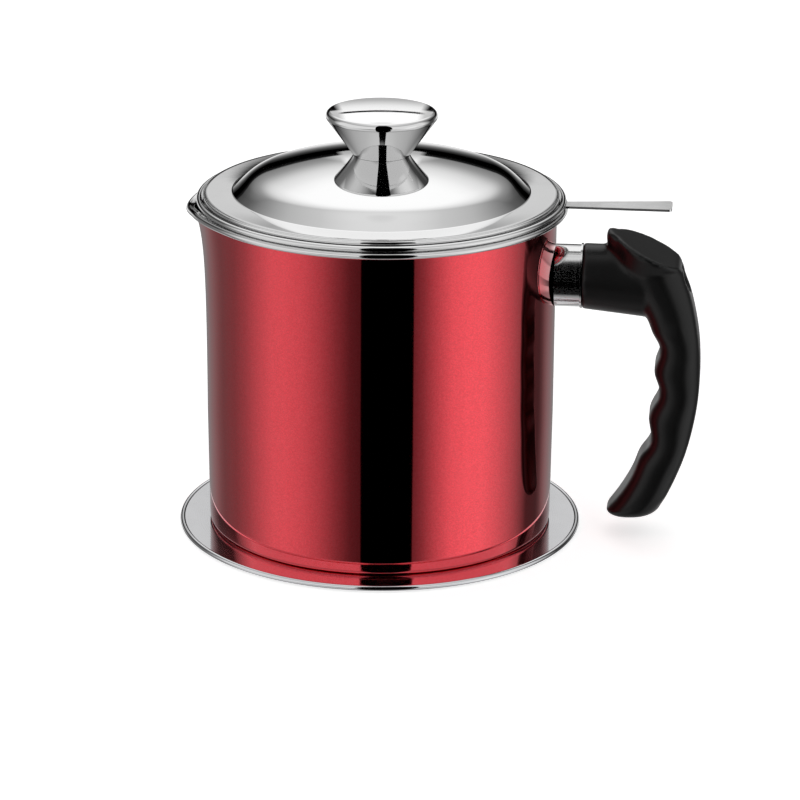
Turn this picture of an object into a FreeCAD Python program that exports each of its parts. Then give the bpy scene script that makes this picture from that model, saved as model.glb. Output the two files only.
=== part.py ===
"""Grease container: a spouted steel pot on a drip tray, with a strainer, a domed lid and a moulded handle.

Frame: millimetres, +Z up, origin on the floor under the middle of the tray.
The handle points along +X and the pouring spout along -X, so the whole is symmetric about the XZ plane.
The sizes stand in the sheet "sizes". Every sub-part is one object whose Label names its file.
"""
import FreeCAD, Part
import math
import os

import Sketcher

Vector = FreeCAD.Vector

SIZES = [
    # drip tray: a disc with its edge rolled under, pressed down in the middle so that it stands flat
    ("tray_radius", 70.0),
    ("tray_curl_radius", 0.95),
    ("tray_curl_rise", 0.4),
    ("tray_sheet", 0.6),
    ("tray_plate_height", 2.1),
    ("tray_well_radius", 46.0),
    ("tray_well_step", 4.0),
    # pot: a drawn cup, slightly narrower at the foot
    ("pot_radius", 60.0),
    ("pot_taper", 0.45),
    ("pot_height", 114.15),
    ("pot_sheet", 0.6),
    ("pot_corner_radius", 1.8),
    ("pot_straight_below_spout", 4.0),
    ("pot_floor_ring", 12.0),
    ("pot_floor_rise", 0.8),
    # curled rim of the pot
    ("rim_overhang", 3.8),
    ("rim_curl_radius", 1.1),
    ("rim_shoulder_radius", 1.4),
    # pouring spout, pressed out of the wall and the rim
    ("spout_reach", 3.2),
    ("spout_flare", 1.25),
    ("spout_flare_share", 0.67),
    ("spout_dip", 2.6),
    ("spout_depth", 68.0),
    ("spout_half_angle", 43.0),
    ("spout_nose_half_angle", 18.0),
    ("spout_nose_share", 0.4),
    # strainer: a ring that hangs on the rim, and a bowl of mesh held in it by a hoop
    ("strainer_overhang", 3.1),
    ("strainer_curl_radius", 1.0),
    ("strainer_sheet", 0.6),
    ("strainer_skirt_clearance", 0.9),
    ("strainer_skirt_height", 7.6),
    ("strainer_bend_radius", 0.6),
    ("mesh_sheet", 0.5),
    ("mesh_depth", 42.0),
    ("mesh_straight", 8.0),
    ("mesh_knuckle_radius", 20.0),
    ("hoop_sheet", 0.6),
    ("hoop_height", 4.5),
    ("tab_length", 36.0),
    ("tab_sheet", 0.8),
    ("tab_root_width", 6.0),
    ("tab_end_width", 10.6),
    ("tab_corner_radius", 1.2),
    ("tab_lift_angle", 1.1),
    # lid: flange, step and dome
    ("lid_overhang", 0.85),
    ("lid_curl_radius", 0.9),
    ("lid_sheet", 0.6),
    ("lid_flange_width", 8.75),
    ("lid_step_slope", 50.0),
    ("lid_step_fillet", 6.0),
    ("lid_step_length", 2.05),
    ("lid_shoulder_radius", 8.0),
    ("lid_dome_slope", 18.2),
    ("lid_ring_clearance", 0.8),
    ("lid_ring_height", 5.5),
    # knob: a cone closed by a domed cap, screwed on from below
    ("knob_foot_radius", 9.6),
    ("knob_cone_angle", 36.0),
    ("knob_sheet", 0.8),
    ("knob_foot_recess", 0.6),
    ("knob_neck_inset", 1.2),
    ("knob_neck_height", 1.4),
    ("cap_radius", 19.05),
    ("cap_edge_radius", 1.7),
    ("cap_sheet", 0.6),
    ("cap_dome_slope", 6.5),
    ("insert_radius", 5.0),
    ("insert_height", 8.0),
    ("knob_screw_radius", 2.0),
    ("knob_screw_length", 9.0),
    ("knob_screw_head_radius", 3.8),
    ("knob_screw_head_height", 2.4),
    ("knob_washer_radius", 6.5),
    ("knob_washer_sheet", 0.8),
    # handle: boss welded to the wall, collar over it, grip screwed on from behind
    ("handle_drop", 24.35),
    ("ferrule_length", 9.3),
    ("ferrule_radius", 10.7),
    ("ferrule_sheet", 0.6),
    ("ferrule_lip_radius", 11.2),
    ("boss_radius", 6.5),
    ("boss_length", 14.0),
    ("boss_thread_depth", 12.5),
    ("screw_radius", 2.0),
    ("screw_length", 22.0),
    ("screw_head_radius", 3.5),
    ("screw_head_height", 2.6),
    ("counterbore_radius", 4.1),
    ("counterbore_floor", 15.0),
    ("washer_radius", 3.8),
    ("washer_sheet", 0.8),
    # grip: follows one arc, with the thumb rest at its top
    ("grip_reach", 41.2),
    ("grip_arc_radius", 101.0),
    ("grip_arc_drop", 32.9),
    ("grip_arc_top_angle", 9.7),
    ("grip_arc_end_angle", 25.5),
    ("grip_thickness", 15.7),
    ("grip_end_thinning", 1.6),
    ("grip_half_width", 11.4),
    ("grip_corner_share", 0.88),
    ("grip_neck_radius", 11.2),
    ("grip_neck_swell", 1.4),
    ("grip_neck_end_half_width", 10.4),
    ("grip_neck_length", 26.0),
    ("groove_depth", 2.3),
    ("groove_pitch_angle", 10.4),
    ("last_groove_pitch_angle", 11.6),
    ("groove_top_angle", 6.1),
    # thumb rest: a round flat that overhangs the grip on both sides
    ("thumb_rest_radius", 13.9),
    ("thumb_rest_slope", 24.7),
    ("thumb_rest_x", 23.0),
    ("thumb_rest_height", 10.6),
    ("thumb_rest_rim", 1.1),
    ("thumb_rest_depth", 12.0),
    ("thumb_rest_foot_radius", 8.5),
    ("thumb_end_slope", 51.0),
    ("thumb_end_x", 32.6),
    # clearances
    ("seat_gap", 0.1),
    ("slip_gap", 0.05),
    ("curl_step", 0.2),
]


def make_sheet(doc):
    """The spreadsheet of driving sizes: names in column A, numbers in column B, one alias for each."""
    sheet = doc.addObject("Spreadsheet::Sheet", "sizes")
    for row, (name, value) in enumerate(SIZES, start=1):
        sheet.set("A%d" % row, name)
        sheet.set("B%d" % row, str(value))
        sheet.setAlias("B%d" % row, name)
    doc.recompute()
    return sheet


class Size:
    """A number together with the sheet formula that gives it, so that sketches stay bound to the sheet."""

    def __init__(self, value, formula):
        self.value = value
        self.formula = formula

    def __add__(self, other):
        other = as_size(other)
        return Size(self.value + other.value, "(%s + %s)" % (self.formula, other.formula))

    def __sub__(self, other):
        other = as_size(other)
        return Size(self.value - other.value, "(%s - %s)" % (self.formula, other.formula))

    def __mul__(self, other):
        other = as_size(other)
        return Size(self.value * other.value, "(%s * %s)" % (self.formula, other.formula))

    def __truediv__(self, other):
        other = as_size(other)
        return Size(self.value / other.value, "(%s / %s)" % (self.formula, other.formula))


def as_size(number):
    """A plain number as a Size, or a Size as it is."""
    if isinstance(number, Size):
        return number
    return Size(float(number), repr(float(number)))


def sine(angle):
    """Sine of an angle in degrees."""
    return Size(math.sin(math.radians(angle.value)), "sin(%s)" % angle.formula)


def cosine(angle):
    """Cosine of an angle in degrees."""
    return Size(math.cos(math.radians(angle.value)), "cos(%s)" % angle.formula)


def root(number):
    """Square root."""
    return Size(math.sqrt(number.value), "sqrt(%s)" % number.formula)


DOC = FreeCAD.newDocument("grease_container")
SHEET = make_sheet(DOC)
ZERO = as_size(0)
NODES = []


def size(name):
    """A driving size by its name in the sheet."""
    return Size(float(SHEET.get(name)), "sizes.%s" % name)


# ---------------------------------------------------------------- helpers for bodies and sketches


def new_body(label):
    """An empty PartDesign body that becomes the sub-part of that name."""
    body = DOC.addObject("PartDesign::Body", label)
    body.Label = label
    NODES.append(body)
    return body


def new_sketch(body, name, plane="XZ_Plane"):
    """A sketch on one of the body's own origin planes; on XZ_Plane its axes are X and Z."""
    sketch = body.newObject("Sketcher::SketchObject", name)
    origin_plane = [item for item in body.Origin.OriginFeatures if item.Role == plane][0]
    sketch.AttachmentSupport = (origin_plane, "")
    sketch.MapMode = "FlatFace"
    return sketch


def bind(sketch, kind, targets, length, name):
    """Add a dimension to a sketch and tie it to its sheet formula."""
    index = sketch.addConstraint(Sketcher.Constraint(kind, *targets, length.value))
    sketch.renameConstraint(index, name)
    sketch.setExpression("Constraints." + name, length.formula)


def pin_point(sketch, edge, end, x, y, name):
    """Hold one point of a sketch at (x, y) from the origin."""
    if x is ZERO:
        sketch.addConstraint(Sketcher.Constraint("PointOnObject", edge, end, -2))
    else:
        bind(sketch, "DistanceX", (-1, 1, edge, end), x, name + "_x")
    if y is ZERO:
        sketch.addConstraint(Sketcher.Constraint("PointOnObject", edge, end, -1))
    else:
        bind(sketch, "DistanceY", (-1, 1, edge, end), y, name + "_y")


def arc_between(start, end, radius, turn):
    """The arc under half a turn from start to end that bends left (turn 1) or right (turn -1)."""
    chord = end - start
    middle = (start + end) * 0.5
    left = Vector(-chord.y, chord.x, 0) / chord.Length
    rise = math.sqrt(max(radius ** 2 - (chord.Length / 2) ** 2, 0))
    centre = middle + left * (turn * rise)
    first = math.atan2(start.y - centre.y, start.x - centre.x)
    last = math.atan2(end.y - centre.y, end.x - centre.x)
    if turn < 0:
        first, last = last, first
    if last < first:
        last += 2 * math.pi
    return Part.ArcOfCircle(Part.Circle(centre, Vector(0, 0, 1), radius), first, last)


def draw_outline(sketch, corners):
    """Close an outline through its corners.

    A corner is (x, y) for a straight side that leads to it, or (x, y, radius, turn) for an arc.
    """
    points = [Vector(corner[0].value, corner[1].value, 0) for corner in corners]
    ends = []
    for index, corner in enumerate(corners):
        if len(corner) == 2:
            edge = sketch.addGeometry(Part.LineSegment(points[index - 1], points[index]), False)
            ends.append((edge, 1, 2))
        else:
            arc = arc_between(points[index - 1], points[index], corner[2].value, corner[3])
            edge = sketch.addGeometry(arc, False)
            ends.append((edge, 1, 2) if corner[3] > 0 else (edge, 2, 1))
    for index, (edge, first, last) in enumerate(ends):
        following = ends[(index + 1) % len(ends)]
        sketch.addConstraint(Sketcher.Constraint("Coincident", edge, last, following[0], following[1]))
    for index, corner in enumerate(corners):
        edge, first, last = ends[index]
        pin_point(sketch, edge, last, corner[0], corner[1], "corner_%d" % index)
        if len(corner) == 4:
            bind(sketch, "Radius", (edge,), corner[2], "radius_%d" % index)


def draw_circle(sketch, x, y, radius):
    """A circle at (x, y)."""
    edge = sketch.addGeometry(Part.Circle(Vector(x.value, y.value, 0), Vector(0, 0, 1), radius.value), False)
    if x is ZERO and y is ZERO:
        sketch.addConstraint(Sketcher.Constraint("Coincident", edge, 3, -1, 1))
    else:
        pin_point(sketch, edge, 3, x, y, "centre")
    bind(sketch, "Radius", (edge,), radius, "radius")


def revolve(body, sketch, axis="V_Axis", angle=None):
    """Turn a sketch round the body's Z axis (V_Axis) or X axis (H_Axis)."""
    turn = body.newObject("PartDesign::Revolution", sketch.Name + "_turn")
    turn.Profile = sketch
    turn.ReferenceAxis = (sketch, [axis])
    if angle is not None:
        turn.Midplane = True
        turn.setExpression("Angle", angle.formula)
    return turn


def turned_body(label, corners, axis="V_Axis"):
    """A body of revolution from one outline."""
    body = new_body(label)
    sketch = new_sketch(body, label + "_outline")
    draw_outline(sketch, corners)
    revolve(body, sketch, axis)
    return body


def add_curl(body, x, y, radius):
    """The rolled edge of a sheet: a ring of round section."""
    sketch = new_sketch(body, body.Label + "_curl")
    draw_circle(sketch, x, y, radius)
    revolve(body, sketch)


def raise_to(thing, height):
    """Stand a sub-part at a height above the floor."""
    thing.setExpression("Placement.Base.z", height.formula)


# ---------------------------------------------------------------- heights that the pieces share

POT_FOOT = size("tray_plate_height")
HANDLE_HEIGHT = POT_FOOT + size("pot_height") - size("handle_drop")
RIM_TOP = POT_FOOT + size("pot_height")
STRAINER_CURL_Z = RIM_TOP + size("seat_gap") + size("strainer_curl_radius")
STRAINER_TOP = STRAINER_CURL_Z + size("strainer_curl_radius") - size("curl_step")
LID_CURL_Z = STRAINER_TOP + size("seat_gap") + size("lid_curl_radius")
LID_FLANGE_TOP = LID_CURL_Z + size("lid_curl_radius") - size("curl_step")


# ---------------------------------------------------------------- drip tray


def make_drip_tray():
    """Disc with a rolled edge; its middle is pressed down to the floor."""
    sheet = size("tray_sheet")
    well = size("tray_well_radius")
    plate = size("tray_plate_height")
    shoulder = well + size("tray_well_step")
    curl_x = size("tray_radius") - size("tray_curl_radius")
    body = turned_body("drip_tray", [
        (ZERO, ZERO),
        (well, ZERO),
        (shoulder, plate - sheet),
        (curl_x, plate - sheet),
        (curl_x, plate),
        (shoulder, plate),
        (well, sheet),
        (ZERO, sheet),
    ])
    add_curl(body, curl_x, plate + size("tray_curl_rise") - size("tray_curl_radius"), size("tray_curl_radius"))


# ---------------------------------------------------------------- pot


def rim_corners():
    """The rim's section as Sizes: shoulder, short flange and the curl that it ends in."""
    wall = size("pot_radius")
    sheet = size("pot_sheet")
    curl = size("rim_curl_radius")
    shoulder = size("rim_shoulder_radius")
    curl_x = wall + size("rim_overhang") - curl
    curl_z = RIM_TOP - curl
    flange_top = RIM_TOP - size("curl_step")
    under = flange_top - sheet
    above_centre = flange_top - curl_z
    below_top = under - curl_z
    return {
        "shoulder_z": under - shoulder,
        "shoulder_x": wall + shoulder,
        "under": under,
        "flange_top": flange_top,
        "curl_x": curl_x,
        "curl_z": curl_z,
        "under_x": curl_x - root(curl * curl - below_top * below_top),
        "top_x": curl_x - root(curl * curl - above_centre * above_centre),
    }


def make_pot_cup():
    """Floor, corner and the lower wall, up to where the spout begins."""
    sheet = size("pot_sheet")
    wall = size("pot_radius")
    foot = wall - size("pot_taper")
    corner = size("pot_corner_radius")
    seam = rim_corners()["shoulder_z"] - size("spout_depth")
    taper_top = seam - size("pot_straight_below_spout")
    ring_in = foot - corner - size("pot_floor_ring")
    raised = POT_FOOT + size("pot_floor_rise")
    body = DOC.addObject("PartDesign::Body", "pot_cup")
    sketch = new_sketch(body, "pot_cup_outline")
    draw_outline(sketch, [
        (ZERO, raised),
        (ring_in - size("pot_floor_rise"), raised),
        (ring_in, POT_FOOT),
        (foot - corner, POT_FOOT),
        (foot, POT_FOOT + corner, corner, 1),
        (wall, taper_top),
        (wall, seam),
        (wall - sheet, seam),
        (wall - sheet, taper_top),
        (foot - sheet, POT_FOOT + corner),
        (foot - corner, POT_FOOT + sheet, corner - sheet, -1),
        (ring_in, POT_FOOT + sheet),
        (ring_in - size("pot_floor_rise"), raised + sheet),
        (ZERO, raised + sheet),
    ])
    revolve(body, sketch)
    return body


def make_pot_band():
    """Upper wall and curled rim, all round but for the spout."""
    rim = rim_corners()
    wall = size("pot_radius")
    sheet = size("pot_sheet")
    shoulder = size("rim_shoulder_radius")
    curl = size("rim_curl_radius")
    seam = rim["shoulder_z"] - size("spout_depth")
    body = DOC.addObject("PartDesign::Body", "pot_band")
    sketch = new_sketch(body, "pot_band_outline")
    draw_outline(sketch, [
        (wall, seam),
        (wall, rim["shoulder_z"]),
        (rim["shoulder_x"], rim["under"], shoulder, -1),
        (rim["under_x"], rim["under"]),
        (rim["curl_x"], rim["curl_z"] - curl, curl, 1),
        (rim["curl_x"] + curl, rim["curl_z"], curl, 1),
        (rim["curl_x"], RIM_TOP, curl, 1),
        (rim["top_x"], rim["flange_top"], curl, 1),
        (rim["shoulder_x"], rim["flange_top"]),
        (wall - sheet, rim["shoulder_z"], shoulder + sheet, 1),
        (wall - sheet, seam),
    ])
    revolve(body, sketch, angle=as_size(360) - size("spout_half_angle") * 2)
    return body


def swell(angle, half_angle):
    """Smooth hump over an angle: 1 in the middle, 0 with no slope at the half angle."""
    if abs(angle) >= half_angle:
        return 0.0
    return 0.5 + 0.5 * math.cos(math.pi * angle / half_angle)


def spout_shape(angle, height_share):
    """How far the spout has swollen at an angle, from 0 at its foot to 1 at the lip."""
    narrowing = 0.35 + 0.65 * height_share
    share = size("spout_nose_share").value
    broad = swell(angle, size("spout_half_angle").value * narrowing)
    nose = swell(angle, size("spout_nose_half_angle").value * narrowing)
    return (1 - share) * broad + share * nose


def spout_wall(angle, radius, reach, seam, end):
    """Wall line of one spout section as a smooth curve, which flares out more and more towards the rim."""
    point_count = 14
    flare = size("spout_flare_share").value
    points = []
    for index in range(point_count + 1):
        share = index / point_count
        out = reach * ((1 - flare) * share ** 2 + flare * share ** 8) * spout_shape(angle, share)
        points.append(Vector(radius + out, 0, seam + (end - seam) * share))
    curve = Part.BSplineCurve()
    curve.interpolate(points)
    return curve


def spout_section(angle):
    """Closed section of the spouted rim in the meridian plane at an angle from -X.

    The curl moves out and down as it is. The wall flares further, so the shoulder under the curl shrinks.
    """
    rim = {name: corner.value for name, corner in rim_corners().items()}
    wall = size("pot_radius").value
    sheet = size("pot_sheet").value
    curl = size("rim_curl_radius").value
    seam = rim["shoulder_z"] - size("spout_depth").value
    lip = spout_shape(angle, 1.0)
    out = size("spout_reach").value * lip
    dip = size("spout_dip").value * lip
    shoulder = size("rim_shoulder_radius").value - size("spout_flare").value * lip
    wall_end = rim["under"] - dip - shoulder
    wall_reach = size("spout_reach").value + size("spout_flare").value
    slant = math.sqrt(0.5)

    def place(x, z):
        return Vector(x + out, 0, z - dip)

    def bend(centre_x, centre_z, radius, first, middle, last):
        ends = [place(centre_x + radius * x, centre_z + radius * z) for x, z in (first, middle, last)]
        return Part.Arc(*ends)

    under_start = ((rim["under_x"] - rim["curl_x"]) / curl, (rim["under"] - rim["curl_z"]) / curl)
    top_end = ((rim["top_x"] - rim["curl_x"]) / curl, (rim["flange_top"] - rim["curl_z"]) / curl)
    outer = spout_wall(angle, wall, wall_reach, seam, wall_end)
    inner = spout_wall(angle, wall - sheet, wall_reach, seam, wall_end)
    inner.reverse()
    centre = (rim["shoulder_x"], rim["under"] - shoulder)
    curves = [
        outer,
        bend(*centre, shoulder, (-1, 0), (-slant, slant), (0, 1)),
        Part.LineSegment(place(rim["shoulder_x"], rim["under"]), place(rim["under_x"], rim["under"])),
        bend(rim["curl_x"], rim["curl_z"], curl, under_start, (slant, -slant), top_end),
        Part.LineSegment(place(rim["top_x"], rim["flange_top"]), place(rim["shoulder_x"], rim["flange_top"])),
        bend(*centre, shoulder + sheet, (0, 1), (-slant, slant), (-1, 0)),
        inner,
        Part.LineSegment(Vector(wall - sheet, 0, seam), Vector(wall, 0, seam)),
    ]
    wire = Part.Wire([curve.toShape() for curve in curves])
    wire.rotate(Vector(0, 0, 0), Vector(0, 0, 1), 180 + angle)
    return wire


def make_spout():
    """The spouted stretch of wall and rim, lofted round the pot through its meridian sections."""
    half_angle = size("spout_half_angle").value
    section_count = 16
    shares = [index / section_count for index in range(section_count + 1)]
    wires = [spout_section(half_angle * (2 * share - 1)) for share in shares]
    spout = DOC.addObject("Part::Feature", "pot_spout")
    spout.Shape = Part.makeLoft(wires, True, False)
    return spout


def make_pot_shell():
    """Cup, band and spout are one drawn piece."""
    shell = DOC.addObject("Part::MultiFuse", "pot_shell")
    shell.Shapes = [make_pot_cup(), make_pot_band(), make_spout()]
    shell.Refine = True
    shell.Label = "pot_shell"
    NODES.append(shell)


# ---------------------------------------------------------------- strainer


def skirt_radius():
    """Outer radius of the strainer's skirt inside the pot."""
    return size("pot_radius") - size("pot_sheet") - size("strainer_skirt_clearance")


def strainer_radius():
    """Outer radius of the strainer's curled edge."""
    return size("pot_radius") + size("strainer_overhang")


def make_strainer_rim():
    """Ring with a skirt that centres it in the pot and a curled flange that hangs on the rim."""
    sheet = size("strainer_sheet")
    outside = skirt_radius()
    bend = size("strainer_bend_radius")
    under = STRAINER_TOP - sheet
    foot = STRAINER_TOP - size("strainer_skirt_height")
    curl_x = strainer_radius() - size("strainer_curl_radius")
    body = turned_body("strainer_rim", [
        (outside - sheet, foot),
        (outside, foot),
        (outside, under - bend),
        (outside + bend, under, bend, -1),
        (curl_x, under),
        (curl_x, STRAINER_TOP),
        (outside + bend, STRAINER_TOP),
        (outside - sheet, under - bend, bend + sheet, 1),
    ])
    add_curl(body, curl_x, STRAINER_CURL_Z, size("strainer_curl_radius"))


def mesh_outside():
    """Outer radius of the mesh bowl inside the strainer's skirt."""
    return skirt_radius() - size("strainer_sheet") - size("seat_gap")


def make_strainer_mesh():
    """Mesh bowl as a thin shell: a straight collar, a round knuckle and a shallower bottom."""
    sheet = size("mesh_sheet")
    outside = mesh_outside()
    knuckle = size("mesh_knuckle_radius")
    bowl = size("mesh_depth") - size("mesh_straight")
    top = STRAINER_TOP - size("strainer_skirt_height") + size("hoop_height")
    collar = top - size("mesh_straight")
    lowest = collar - bowl
    knuckle_x = outside - knuckle
    bottom = (knuckle_x * knuckle_x + bowl * bowl - knuckle * knuckle) / ((bowl - knuckle) * 2)
    bottom_z = lowest + bottom
    across = knuckle_x / (bottom - knuckle)
    down = (bottom_z - collar) / (bottom - knuckle)
    inner = bottom - sheet
    turned_body("strainer_mesh", [
        (ZERO, lowest),
        (bottom * across, bottom_z - bottom * down, bottom, 1),
        (outside, collar, knuckle, 1),
        (outside, top),
        (outside - sheet, top),
        (outside - sheet, collar),
        (inner * across, bottom_z - inner * down, knuckle - sheet, -1),
        (ZERO, lowest + sheet, inner, -1),
    ])


def hoop_outside():
    """Outer radius of the hoop inside the mesh."""
    return mesh_outside() - size("mesh_sheet") - size("seat_gap")


def make_strainer_hoop():
    """Hoop that clamps the edge of the mesh against the skirt."""
    outside = hoop_outside()
    inside = outside - size("hoop_sheet")
    foot = STRAINER_TOP - size("strainer_skirt_height")
    top = foot + size("hoop_height")
    turned_body("strainer_hoop", [(inside, foot), (outside, foot), (outside, top), (inside, top)])


def make_strainer_tab():
    """Strip welded to the ring, widening to its free end and lifted a little for the finger."""
    body = new_body("strainer_tab")
    length = size("tab_length")
    corner = size("tab_corner_radius")
    half_root = size("tab_root_width") / 2
    half_end = size("tab_end_width") / 2
    minus = as_size(-1)
    sketch = new_sketch(body, "strainer_tab_outline", "XY_Plane")
    draw_outline(sketch, [
        (ZERO, half_root * minus),
        (length - corner, half_end * minus),
        (length, (half_end - corner) * minus, corner, 1),
        (length, half_end - corner),
        (length - corner, half_end, corner, 1),
        (ZERO, half_root),
    ])
    pad = body.newObject("PartDesign::Pad", "strainer_tab_strip")
    pad.Profile = sketch
    pad.setExpression("Length", size("tab_sheet").formula)
    body.Placement = FreeCAD.Placement(Vector(0, 0, 0), FreeCAD.Rotation(Vector(0, 1, 0), -1))
    body.setExpression("Placement.Rotation.Angle", size("tab_lift_angle").formula)
    body.setExpression("Placement.Rotation.Axis.y", "-1")
    body.setExpression("Placement.Base.x", (strainer_radius() + size("slip_gap")).formula)
    raise_to(body, RIM_TOP + size("slip_gap"))


# ---------------------------------------------------------------- lid


def lid_radius():
    """Outer radius of the lid's curled edge."""
    return size("pot_radius") + size("lid_overhang")


def lid_stations():
    """Points of the lid's upper surface from flange to dome, each (x, z, slope)."""
    steep = size("lid_step_slope")
    gentle = size("lid_dome_slope")
    fillet = size("lid_step_fillet")
    length = size("lid_step_length")
    shoulder = size("lid_shoulder_radius")
    one = as_size(1)
    flange_x = lid_radius() - size("lid_flange_width")
    fillet_x = flange_x - fillet * sine(steep)
    fillet_z = LID_FLANGE_TOP + fillet * (one - cosine(steep))
    side_x = fillet_x - length * cosine(steep)
    side_z = fillet_z + length * sine(steep)
    dome_x = side_x - shoulder * (sine(steep) - sine(gentle))
    dome_z = side_z + shoulder * (cosine(gentle) - cosine(steep))
    return [
        (flange_x, LID_FLANGE_TOP, ZERO),
        (fillet_x, fillet_z, steep),
        (side_x, side_z, steep),
        (dome_x, dome_z, gentle),
    ]


def dome_radius():
    """Radius of the dome, which starts level at the axis and has its edge slope at its rim."""
    dome_x = lid_stations()[3][0]
    return dome_x / sine(size("lid_dome_slope"))


def dome_top():
    """Height of the dome at the axis."""
    dome_z = lid_stations()[3][1]
    return dome_z + dome_radius() * (as_size(1) - cosine(size("lid_dome_slope")))


def dome_height_at(x, below):
    """Height of the dome's surface, or of one lying below it by a sheet's thickness, at a radius."""
    radius = dome_radius() - below
    return dome_top() - dome_radius() + root(radius * radius - x * x)


def under_side(station, sheet):
    """The point of the lid's lower surface under a station of the upper one."""
    x, z, slope = station
    if slope is ZERO:
        return x, z - sheet
    return x - sheet * sine(slope), z - sheet * cosine(slope)


def make_lid_shell():
    """Flange with a curled edge, concave step, rounded shoulder and dome, in one sheet."""
    sheet = size("lid_sheet")
    hole = size("knob_screw_radius") + size("slip_gap") * 4
    curl_x = lid_radius() - size("lid_curl_radius")
    flange, fillet, side, dome = lid_stations()
    low = [under_side(station, sheet) for station in (flange, fillet, side, dome)]
    fillet_radius = size("lid_step_fillet")
    shoulder = size("lid_shoulder_radius")
    body = turned_body("lid_shell", [
        (curl_x, LID_FLANGE_TOP - sheet),
        (curl_x, LID_FLANGE_TOP),
        (flange[0], flange[1]),
        (fillet[0], fillet[1], fillet_radius, -1),
        (side[0], side[1]),
        (dome[0], dome[1], shoulder, 1),
        (hole, dome_height_at(hole, ZERO), dome_radius(), 1),
        (hole, dome_height_at(hole, sheet)),
        (low[3][0], low[3][1], dome_radius() - sheet, -1),
        (low[2][0], low[2][1], shoulder - sheet, -1),
        (low[1][0], low[1][1]),
        (low[0][0], low[0][1], fillet_radius + sheet, 1),
    ])
    add_curl(body, curl_x, LID_CURL_Z, size("lid_curl_radius"))


def make_lid_locating_ring():
    """Ring welded under the flange, which keeps the lid centred in the strainer."""
    outside = hoop_outside() - size("hoop_sheet") - size("lid_ring_clearance")
    inside = outside - size("lid_sheet")
    top = LID_FLANGE_TOP - size("lid_sheet")
    foot = top - size("lid_ring_height")
    turned_body("lid_locating_ring", [(inside, foot), (outside, foot), (outside, top), (inside, top)])


# ---------------------------------------------------------------- knob


def knob_foot_height():
    """Height of the knob's foot, which stands on the dome."""
    return dome_height_at(size("knob_foot_radius"), ZERO) + size("slip_gap")


def cone_top():
    """Where the cone's outside runs smoothly into the cap's rounded edge, as (x, z)."""
    angle = size("knob_cone_angle")
    foot = size("knob_foot_radius")
    x = size("cap_radius") - size("cap_edge_radius") * (as_size(1) - cosine(angle))
    return x, knob_foot_height() + (x - foot) * cosine(angle) / sine(angle)


def make_knob_shell():
    """Hollow cone on its narrow end, with a recessed floor and a neck that holds the cap."""
    sheet = size("knob_sheet")
    angle = size("knob_cone_angle")
    gap = size("slip_gap")
    foot = size("knob_foot_radius")
    low = knob_foot_height()
    floor = low + size("knob_foot_recess")
    wide, high = cone_top()
    edge_x = wide - gap * sine(angle)
    edge_z = high - gap * cosine(angle)
    neck_x = wide - size("knob_neck_inset")
    inside_x = neck_x - sheet
    bend_z = edge_z - size("knob_neck_inset") * cosine(angle) / sine(angle)
    hole = size("knob_screw_radius") + gap * 4
    turned_body("knob_shell", [
        (foot - sheet, low),
        (foot, low),
        (edge_x, edge_z),
        (neck_x, edge_z),
        (neck_x, edge_z + size("knob_neck_height")),
        (inside_x, edge_z + size("knob_neck_height")),
        (inside_x, bend_z),
        (foot - sheet, floor + sheet),
        (hole, floor + sheet),
        (hole, floor),
        (foot - sheet, floor),
    ])


def make_knob_cap():
    """Domed cap whose rounded edge comes down flush with the cone."""
    sheet = size("cap_sheet")
    edge = size("cap_edge_radius")
    slope = size("cap_dome_slope")
    lip = size("knob_cone_angle")
    inner = edge - sheet
    centre_x = size("cap_radius") - edge
    centre_z = cone_top()[1] + edge * sine(lip)
    dome = centre_x / sine(slope) + edge
    level = centre_z + edge * cosine(slope) - dome * cosine(slope)
    turned_body("knob_cap", [
        (centre_x + edge * cosine(lip), centre_z - edge * sine(lip)),
        (size("cap_radius"), centre_z, edge, 1),
        (centre_x + edge * sine(slope), centre_z + edge * cosine(slope), edge, 1),
        (ZERO, level + dome, dome, 1),
        (ZERO, level + dome - sheet),
        (centre_x + inner * sine(slope), centre_z + inner * cosine(slope), dome - sheet, -1),
        (centre_x + inner, centre_z, inner, -1),
        (centre_x + inner * cosine(lip), centre_z - inner * sine(lip), inner, -1),
    ])


def make_knob_insert():
    """Threaded bush that stands on the cone's floor."""
    hole = size("knob_screw_radius") + size("slip_gap")
    outside = size("insert_radius")
    foot = knob_foot_height() + size("knob_foot_recess") + size("knob_sheet")
    top = foot + size("insert_height")
    turned_body("knob_insert", [(hole, foot), (outside, foot), (outside, top), (hole, top)])


def knob_washer_top():
    """Height of the washer under the dome."""
    return dome_height_at(size("knob_washer_radius"), size("lid_sheet")) - size("slip_gap")


def make_knob_washer():
    """Flat washer under the lid."""
    hole = size("knob_screw_radius") + size("slip_gap") * 4
    outside = size("knob_washer_radius")
    top = knob_washer_top()
    foot = top - size("knob_washer_sheet")
    turned_body("knob_washer", [(hole, foot), (outside, foot), (outside, top), (hole, top)])


def make_knob_screw():
    """Pan-head screw up through washer and lid into the bush."""
    shank = size("knob_screw_radius")
    head = size("knob_screw_head_radius")
    seat = knob_washer_top() - size("knob_washer_sheet")
    foot = seat - size("knob_screw_head_height")
    tip = seat + size("knob_screw_length")
    turned_body("knob_screw", [(ZERO, foot), (head, foot), (head, seat), (shank, seat), (shank, tip), (ZERO, tip)])


# ---------------------------------------------------------------- handle


def ferrule_end():
    """Distance of the ferrule's outer face from the pot's axis."""
    return size("pot_radius") + size("ferrule_length")


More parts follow.
